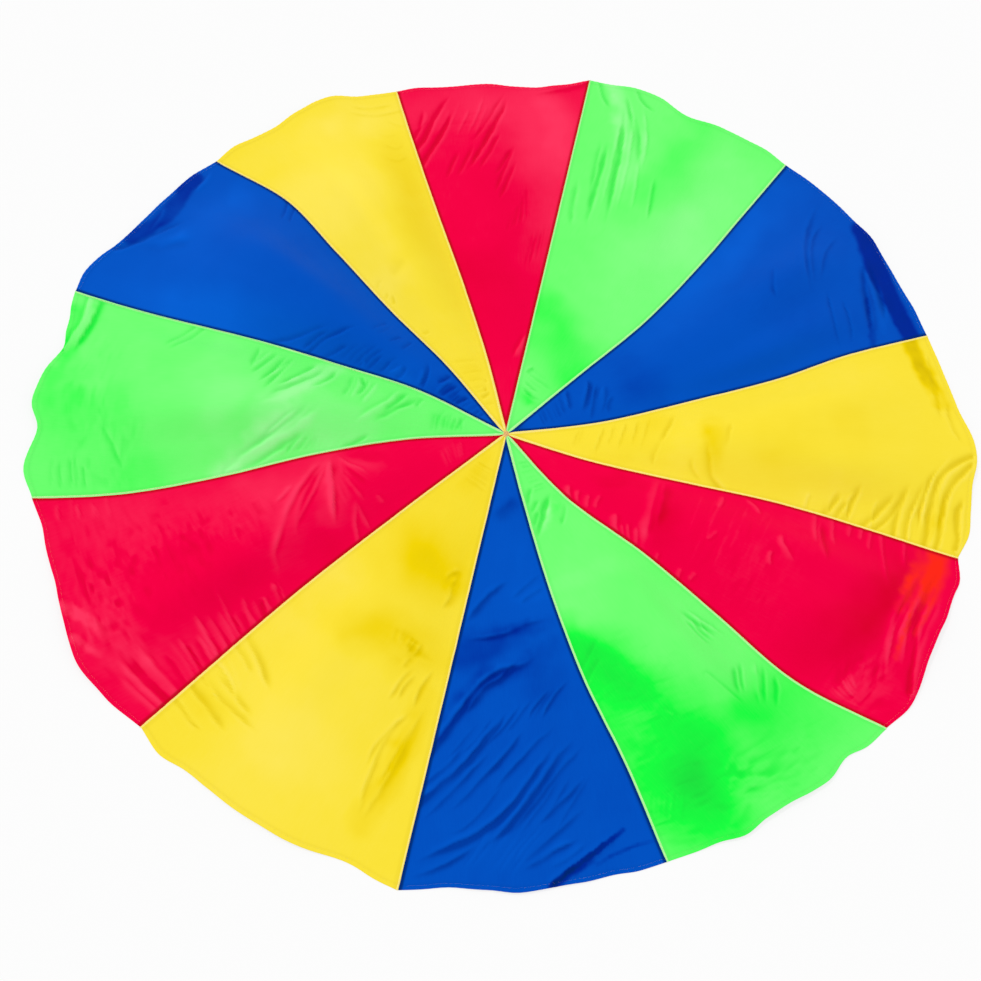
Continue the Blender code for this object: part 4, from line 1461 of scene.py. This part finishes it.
@dataclass
class StitchRow:
    """A row of stitches that Geometry Nodes set along a line."""

    name: str
    finish: SpunThread
    pitch: float
    half_length: float
    half_width: float
    half_depth: float
    slant_deg: float
    wraps: bool
    seed: int

    def tree(self) -> Tree:
        """Build the stitches' node tree.

        Returns:
            The tree. Its inputs are the line, the stitch's pitch, half length, half width,
            half depth, slant and seed.
        """
        tree = bpy.data.node_groups.new(f"{self.name} stitches", "GeometryNodeTree")
        sockets = [("Line", "INPUT", "Geometry")]
        sockets += [(label, "INPUT", "Float") for label in ("Pitch", "Half Length", "Half Width",
                                                            "Half Depth", "Slant")]
        for label, way, kind in (*sockets, ("Seed", "INPUT", "Int"), ("Stitches", "OUTPUT", "Geometry")):
            tree.interface.new_socket(label, in_out=way, socket_type=f"NodeSocket{kind}")
        given = tree.nodes.new("NodeGroupInput").outputs
        curve = add_node(tree, "GeometryNodeMeshToCurve", Mesh=given["Line"])
        points = add_node(tree, "GeometryNodeResampleCurve", {"mode": "LENGTH"}, Curve=curve,
                          Length=given["Pitch"])
        turned = add_node(tree, "FunctionNodeAlignRotationToVector", {"axis": "X"},
                          Vector=add_node(tree, "GeometryNodeInputTangent"))
        stitch = self._wrap(tree, given) if self.wraps else self._bead(tree, given)
        share = add_node(tree, "GeometryNodeInputNamedAttribute", {"data_type": "FLOAT"}, Name="width_share")
        wobble = add_node(tree, "FunctionNodeRandomValue", {"data_type": "FLOAT"}, 1, Seed=given["Seed"],
                          input_2=0.9, input_3=1.08)
        scale = add_node(tree, "ShaderNodeCombineXYZ", X=1.0, Y=reckon(tree, "MULTIPLY", share, wobble),
                         Z=wobble)
        made = add_node(tree, "GeometryNodeInstanceOnPoints", Points=points, Instance=stitch,
                        Rotation=turned, Scale=scale)
        for kind in ("RealizeInstances", "SetShadeSmooth"):
            made = add_node(tree, f"GeometryNode{kind}", Geometry=made)
        dressed = add_node(tree, "GeometryNodeSetMaterial", Geometry=made, Material=self.finish.material())
        fill_sockets(tree.nodes.new("NodeGroupOutput"), Stitches=dressed)
        return tree

    def _wrap(self, tree: Tree, given: Any) -> Socket:
        """Draw one overlock loop, which wraps round the seam.

        Args:
            tree: The stitches' node tree.
            given: The tree's inputs.

        Returns:
            The loop's geometry.
        """
        ring = add_node(tree, "GeometryNodeCurvePrimitiveCircle", Resolution=7, Radius=1.0)
        size = add_node(tree, "ShaderNodeCombineXYZ", X=given["Half Width"], Y=given["Half Depth"], Z=1.0)
        upright = add_node(tree, "GeometryNodeTransform", Geometry=ring, Scale=size,
                           Rotation=(math.pi / 2, 0.0, math.pi / 2))
        lean = add_node(tree, "ShaderNodeCombineXYZ", Z=given["Slant"])
        slanted = add_node(tree, "GeometryNodeTransform", Geometry=upright, Rotation=lean)
        thread = add_node(tree, "GeometryNodeCurvePrimitiveCircle", Resolution=3,
                          Radius=given["Half Length"])
        return add_node(tree, "GeometryNodeCurveToMesh", Curve=slanted, Profile_Curve=thread)

    def _bead(self, tree: Tree, given: Any) -> Socket:
        """Draw one lockstitch, which lies on the cloth and dips in at both ends.

        Args:
            tree: The stitches' node tree.
            given: The tree's inputs.

        Returns:
            The stitch's geometry.
        """
        ball = add_node(tree, "GeometryNodeMeshUVSphere", Segments=6, Rings=4, Radius=1.0)
        on_side = add_node(tree, "GeometryNodeTransform", Geometry=ball, Rotation=(0.0, math.pi / 2, 0.0))
        size = add_node(tree, "ShaderNodeCombineXYZ", X=given["Half Length"], Y=given["Half Width"],
                        Z=given["Half Depth"])
        lean = add_node(tree, "ShaderNodeCombineXYZ", Z=given["Slant"])
        return add_node(tree, "GeometryNodeTransform", Geometry=on_side, Rotation=lean, Scale=size)

    def build(self, lines: Sequence[Array], shares: Sequence[Array]) -> bpy.types.Object:
        """Set the stitches along the lines.

        Args:
            lines: Points along each line.
            shares: How wide the stitches are at each point, from 0 to 1.

        Returns:
            The finished object, a plain mesh.
        """
        edges, start = [], 0
        for line in lines:
            edges += [(start + k, start + k + 1) for k in range(len(line) - 1)]
            start += len(line)
        guide = bpy.data.meshes.new(f"{self.name} line")
        guide.from_pydata(np.concatenate(lines).tolist(), edges, [])
        point_layers(guide, width_share=np.concatenate(shares))
        carrier = finished_object(f"{self.name}_line", guide, self.finish.material())
        modifier = carrier.modifiers.new("Stitches", "NODES")
        tree = self.tree()
        modifier.node_group = tree
        values = {"Pitch": self.pitch, "Half Length": self.half_length, "Half Width": self.half_width,
                  "Half Depth": self.half_depth, "Slant": math.radians(self.slant_deg), "Seed": self.seed}
        for socket in tree.interface.items_tree:
            if socket.in_out == "INPUT" and socket.name in values:
                modifier[socket.identifier] = values[socket.name]
        seen = carrier.evaluated_get(bpy.context.evaluated_depsgraph_get())
        mesh = bpy.data.meshes.new_from_object(seen)
        mesh.name = self.name
        carrier.modifiers.remove(modifier)
        bpy.data.objects.remove(carrier, do_unlink=True)
        bpy.data.meshes.remove(guide)
        return finished_object(self.name, mesh, self.finish.material())


@dataclass
class SeamThread:
    """One seam: the rolled edge of the paler gore, and the overlock loops that wrap it."""

    index: int
    steps: int = 230
    start_radius: float = 10 * MM
    taper_share: float = 0.20
    full_width: float = 9.4 * MM
    fold_width: float = 7.4 * MM
    crown_swell: float = 0.4
    crown_swell_reach: float = 0.18
    wander: float = 0.5 * MM
    wander_size: float = 60 * MM
    core_share: float = 0.80
    core_margin: float = 0.5 * MM
    core_half_depth: float = 0.85 * MM
    depth: float = 1.15 * MM
    loop_pitch: float = 2.6 * MM
    thread_radius: float = 0.62 * MM
    loop_slant_deg: float = 24.0

    @property
    def width(self) -> float:
        """Give the full width, which is less at the fold line, where the halves turn past it."""
        return self.fold_width if self.index in CANOPY.fold_seams else self.full_width

    @property
    def body(self) -> str:
        """Name the body it rides on. The fold line's own seams stay on the right half."""
        return "right_half" if self.index in CANOPY.fold_seams else CANOPY.body(self.index)

    def route(self) -> tuple[Array, Array, Array]:
        """Find the seam's middle line.

        Returns:
            Its points, the level direction square to it, and its half width.
        """
        length = CANOPY.seam_length(self.index)
        share = np.linspace(self.start_radius / length, 1.0, self.steps)
        points = CANOPY.seam_centre(self.index, share)
        aside = CANOPY.seam_aside(self.index, share)
        swell = 0.0 if self.index in CANOPY.fold_seams else self.crown_swell
        half = self.width / 2 * (1 + swell * np.exp(-share * length / self.crown_swell_reach))
        half = np.minimum(half, self.taper_share * share * length)
        sway = soft_noise(np.column_stack([share * length, share * 0 + self.index]), self.wander_size, 5)
        points += aside * (sway * self.wander * smooth_step(share, 0.02, 0.1))[:, None]
        points[:, 2] += (CANOPY.cloth_depth + CANOPY.seam_rise) / 2
        return points, aside, half

    def paler(self) -> Dye:
        """Give the dye of the gore whose edge is rolled over this seam."""
        return max(GORES[self.index - 1].dye, GORES[self.index].dye, key=PALE_ORDER.index)

    def build(self) -> tuple[bpy.types.Object, bpy.types.Object]:
        """Build the rolled edge and the overlock loops.

        Returns:
            The edge and the loops.
        """
        points, aside, half = self.route()
        number = f"{self.index + 1:02d}"
        core = tube_mesh(f"seam_{number}_rolled_edge", points, aside,
                         half * self.core_share + self.core_margin, np.full(len(half), self.core_half_depth))
        # The rolled edge takes the palest tone, a painted highlight along the seam's ridge.
        point_layers(core, tone=1.0, glow=0.0, ditch=0.0)
        edge = finished_object(core.name, core, self.paler().value.material())
        row = StitchRow(f"seam_{number}_overlock", OVERLOCK, self.loop_pitch, self.thread_radius,
                        self.width / 2 - self.thread_radius, self.depth - self.thread_radius / 2,
                        self.loop_slant_deg, True, 3 + self.index)
        loops = row.build([points], [half / (self.width / 2)])
        return edge, loops


@dataclass
class HemStitches:
    """The line of lockstitch that holds the turned hem of one half, on both faces."""

    body: str
    pitch: float = 3.6 * MM
    half_length: float = 1.6 * MM
    half_width: float = 0.12 * MM
    half_depth: float = 0.14 * MM
    slant_deg: float = 9.0
    stop: float = 16 * MM
    steps: int = 90

    def gores(self) -> list[int]:
        """List the half's gores in clockwise order."""
        right = [k for k in range(len(GORES)) if k not in CANOPY.left_gores]
        return list(CANOPY.left_gores) if self.body == "left_half" else right

    def line(self, under: bool) -> Array:
        """Follow the hem over the half's gores.

        Args:
            under: Whether on the underside.

        Returns:
            Points along the line.
        """
        share = 1 - (CANOPY.hem_width - CANOPY.hem_thread_inset) / CANOPY.radius
        found = []
        gores = self.gores()
        for gore in gores:
            cloth = GoreCloth(gore)
            across = np.linspace(0.004, 0.996, self.steps)
            along = np.full(self.steps, share)
            points = cloth.surface(along, across)[0]
            gap, depth = cloth.layers(along)
            points[:, 2] += gap if under else gap + depth
            rim = cloth.width(along)
            if gore == gores[0]:
                points = points[across * rim > self.stop]
            if gore == gores[-1]:
                points = points[(1 - across) * rim > self.stop]
            found.append(points)
        return np.concatenate(found)

    def build(self) -> bpy.types.Object:
        """Build the stitches of both faces.

        Returns:
            The finished object.
        """
        side = self.body.split("_")[0]
        row = StitchRow(f"hem_stitches_{side}", LOCKSTITCH, self.pitch, self.half_length,
                        self.half_width, self.half_depth, self.slant_deg, False, 21)
        lines = [self.line(under) for under in (False, True)]
        return row.build(lines, [np.ones(len(line)) for line in lines])


@dataclass
class CrownTangle:
    """The gathered ends of seams and thread where all gores meet."""

    radius: float = 13 * MM
    stretch: float = 1.3
    thread_radius: float = 0.65 * MM
    height: float = 3.0 * MM
    pad_rings: int = 20
    pad_sides: int = 48
    loops: int = 18
    steps: int = 56
    sides: int = 8
    seed: int = 12

    def build(self) -> bpy.types.Object:
        """Build the knot of thread over a low pad of gathered seam ends.

        Returns:
            The finished object.
        """
        rng = np.random.default_rng(self.seed)
        parts = [self.pad(), *(self.loop(rng) for _ in range(self.loops))]
        joined = bmesh.new()
        for part in parts:
            joined.from_mesh(part)
            bpy.data.meshes.remove(part)
        mesh = bpy.data.meshes.new("crown_tangle")
        joined.to_mesh(mesh)
        joined.free()
        return finished_object("crown_tangle", mesh, GATHERED.material())

    def pad(self) -> bpy.types.Mesh:
        """Model the low pad in the middle, lumpy with the ends gathered in it.

        Returns:
            Its mesh.
        """
        drop = np.pi * np.arange(1, self.pad_rings) / self.pad_rings
        turn = 2 * np.pi * np.arange(self.pad_sides) / self.pad_sides
        lumps = 1 + 0.10 * np.sin(12 * turn) + 0.05 * np.sin(5 * turn + 1.0)
        flat = self.radius * 0.86 * lumps * np.sin(drop)[:, None]
        top = self.height * 0.8
        height = np.repeat(top * np.maximum(0.0, 0.36 + 0.64 * np.cos(drop))[:, None], self.pad_sides, axis=1)
        rings = np.stack([flat * np.cos(turn), flat * np.sin(turn) * self.stretch, height], axis=2)
        points = [*rings.reshape(-1, 3).tolist(), (0.0, 0.0, top), (0.0, 0.0, 0.0)]
        number = np.arange(flat.size).reshape(flat.shape)
        beside = np.roll(number, -1, axis=1)
        faces = np.stack([number[1:], beside[1:], beside[:-1], number[:-1]], axis=2).reshape(-1, 4).tolist()
        faces += [(a, b, flat.size) for a, b in zip(number[0].tolist(), beside[0].tolist())]
        faces += [(b, a, flat.size + 1) for a, b in zip(number[-1].tolist(), beside[-1].tolist())]
        mesh = bpy.data.meshes.new("crown_pad")
        mesh.from_pydata(points, [], faces)
        mesh.shade_smooth()
        return mesh

    def loop(self, rng: np.random.Generator) -> bpy.types.Mesh:
        """Wind one loop of thread over the pad.

        Args:
            rng: Where its place and turn come from.

        Returns:
            Its mesh, a closed tube.
        """
        turn = np.linspace(0.0, rng.uniform(1.1, 1.9) * np.pi, self.steps) + rng.uniform(0, 2 * np.pi)
        wide, narrow = rng.uniform(0.45, 0.8) * self.radius, rng.uniform(0.25, 0.55) * self.radius
        lean = rng.uniform(0, np.pi)
        x, y = wide * np.cos(turn), narrow * np.sin(turn)
        shift = rng.uniform(-0.2, 0.2, 2) * self.radius
        flat = np.column_stack([x * np.cos(lean) - y * np.sin(lean) + shift[0],
                                x * np.sin(lean) + y * np.cos(lean) + shift[1]])
        away = np.linalg.norm(flat, axis=1) / self.radius
        flat[:, 1] *= self.stretch
        dome = self.height * (1 - 0.55 * away ** 2) * (0.93 + 0.07 * np.sin(3 * turn + lean))
        points = np.column_stack([flat, np.maximum(dome, 2 * self.thread_radius)])
        run = np.gradient(points, axis=0)
        aside = np.column_stack([-run[:, 1], run[:, 0], np.zeros(self.steps)])
        aside /= np.linalg.norm(aside, axis=1)[:, None]
        taper = np.clip(np.minimum(np.arange(self.steps), np.arange(self.steps)[::-1]) / 4, 0.35, 1.0)
        size = self.thread_radius * taper
        return tube_mesh("crown_loop", points, aside, size, size, self.sides)


@dataclass
class FoldStay:
    """The double thickness of seam allowance that bends where the canopy folds in half."""

    left: float = -7.0 * MM
    right: float = 1.0 * MM
    depth: float = 0.3 * MM
    bottom: float = 0.02 * MM
    columns: int = 17
    rows: int = 300

    def build(self) -> bpy.types.Object:
        """Build the thin strip under the two seams in one line.

        Returns:
            The finished object.
        """
        ends = [-CANOPY.seam_length(CANOPY.fold_seams[1]) + CANOPY.hem_width,
                CANOPY.seam_length(CANOPY.fold_seams[0]) - CANOPY.hem_width]
        y, x = np.meshgrid(np.linspace(*ends, self.rows), np.linspace(self.left, self.right, self.columns),
                           indexing="ij")
        lower = np.stack([x, y, np.full_like(x, self.bottom)], axis=2)
        upper = lower + np.array([0.0, 0.0, self.depth])
        mesh = closed_sheet("fold_stay", lower, upper)
        point_layers(mesh, tone=0.6, glow=0.0, ditch=0.0)
        return finished_object("fold_stay", mesh, Dye.YELLOW.value.material())


@dataclass(frozen=True)
class Studio:
    """A plain pale floor, soft light and white surroundings."""

    floor_side: float = 30.0
    floor_level: float = -0.9 * MM
    sun_turn_deg: float = 150.6
    sun_height_deg: float = 50.0
    sun_share: float = 0.20
    sun_spread_deg: float = 10.0
    sky: float = 0.815
    glow_share: float = 0.75

    def floor(self) -> bpy.types.Object:
        """Lay the floor.

        Returns:
            A pale plane that takes the object's shadow and is nearly white to the camera.
        """
        half = self.floor_side / 2
        mesh = bpy.data.meshes.new("studio_floor")
        corners = [(x * half, y * half, self.floor_level) for x, y in ((-1, -1), (1, -1), (1, 1), (-1, 1))]
        mesh.from_pydata(corners, [], [(0, 1, 2, 3)])
        made, shader = new_material("matt white studio floor, painted")
        fill_sockets(shader, Base_Color=(0.9, 0.9, 0.9, 1.0), Roughness=0.9, Specular_IOR_Level=0.0)
        tree = made.node_tree
        glow = add_node(tree, "ShaderNodeEmission", Color=(1.0, 1.0, 1.0, 1.0), Strength=1.0)
        seen = add_node(tree, "ShaderNodeLightPath", output="Is Camera Ray")
        mixed = add_node(tree, "ShaderNodeMixShader", input_0=reckon(tree, "MULTIPLY", seen, self.glow_share),
                         input_1=shader.outputs["BSDF"], input_2=glow)
        fill_sockets(tree.nodes["Material Output"], Surface=mixed)
        return finished_object("studio_floor", mesh, made)

    def light(self) -> None:
        """Set the surroundings and the one soft sun."""
        scene = bpy.context.scene
        scene.world = bpy.data.worlds.new("white surroundings")
        scene.world.use_nodes = True
        tree = scene.world.node_tree
        rays = add_node(tree, "ShaderNodeLightPath").node.outputs
        seen = reckon(tree, "MAXIMUM", rays["Is Camera Ray"], rays["Is Glossy Ray"])
        seen = reckon(tree, "MAXIMUM", seen, rays["Is Transmission Ray"])
        strength = add_node(tree, "ShaderNodeMapRange", Value=seen, To_Min=self.sky, To_Max=1.0)
        fill_sockets(tree.nodes["Background"], Color=(1.0, 1.0, 1.0, 1.0), Strength=strength)
        sun = bpy.data.lights.new("soft sun", "SUN")
        sun.energy = self.sun_share * math.pi / math.sin(math.radians(self.sun_height_deg))
        sun.angle = math.radians(self.sun_spread_deg)
        lamp = bpy.data.objects.new("soft sun", sun)
        scene.collection.objects.link(lamp)
        tilt, turn = math.radians(90 - self.sun_height_deg), math.radians(90 + self.sun_turn_deg)
        lamp.rotation_euler = (tilt, 0.0, turn)
        scene.view_settings.view_transform = "Standard"


@dataclass(frozen=True)
class View:
    """Where the photo was taken from."""

    azimuth_deg: float = 1.2
    elevation_deg: float = 61.3
    roll_deg: float = 12.1
    distance: float = 4.65
    target: tuple[float, float, float] = (-0.0074, -0.2582, 0.0)
    focal_pixels: float = 1234.0
    sensor_mm: float = 36.0

    def place(self) -> None:
        """Set the camera."""
        turns = ((self.azimuth_deg, "Z"), (90 - self.elevation_deg, "X"), (self.roll_deg, "Z"))
        around, tipped, rolled = (Matrix.Rotation(math.radians(angle), 4, axis) for angle, axis in turns)
        matrix = around @ tipped @ rolled
        matrix.translation = Vector(self.target) + self.distance * matrix.col[2].to_3d()
        lens = bpy.data.cameras.new("view")
        lens.sensor_fit = "HORIZONTAL"
        lens.sensor_width = self.sensor_mm
        lens.lens = self.focal_pixels / IMAGE_SIDE * self.sensor_mm
        camera = bpy.data.objects.new("view", lens)
        camera.matrix_world = matrix
        bpy.context.scene.collection.objects.link(camera)
        bpy.context.scene.camera = camera


@dataclass
class PlayParachute:
    """The whole canopy, put together in the order it is sewn."""

    def build(self) -> None:
        """Build every piece and hand it to the frame."""
        seams = self.sew_seams()
        hems = {body: HemStitches(body).build() for body in ("right_half", "left_half")}
        for body, stitches in hems.items():
            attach(stitches, body)
            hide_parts(f"hem_thread_{body.split('_')[0]}")
        for index in range(len(GORES)):
            self.lay_gore(GoreCloth(index))
        tangle = CrownTangle().build()
        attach(tangle, "right_half")
        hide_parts("crown_tack")
        stay = FoldStay().build()
        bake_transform(stay)
        LOG.info("crown and fold stay built")

    def sew_seams(self) -> list[bpy.types.Object]:
        """Build the twelve seams and hand them over.

        Returns:
            Each seam's rolled edge.
        """
        edges = []
        for index in range(len(SEAMS)):
            thread = SeamThread(index)
            edge, loops = thread.build()
            for made in (edge, loops):
                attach(made, thread.body)
            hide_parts(f"seam_thread_{index + 1:02d}")
            thread.paler().value.slot
            edges.append(edge)
            LOG.info("seam %d: %d faces", index + 1, len(loops.data.polygons))
        return edges

    def lay_gore(self, cloth: GoreCloth) -> None:
        """Build one gore's cloth and hang it on its half.

        Args:
            cloth: The gore.
        """
        made = cloth.build()
        body = CANOPY.body(cloth.index)
        dye = cloth.gore.dye.value
        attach(made, body)
        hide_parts(f"gore_{cloth.index + 1:02d}_{dye.name}")
        dye.slot
        LOG.info("gore %d: %d faces", cloth.index + 1, len(made.data.polygons))


def main() -> None:
    """Build the canopy, the studio and the view."""
    logging.basicConfig(level=logging.INFO, format="%(name)s: %(message)s")
    PlayParachute().build()
    studio = Studio()
    studio.floor()
    studio.light()
    View().place()


if __name__ == "__main__":
    main()
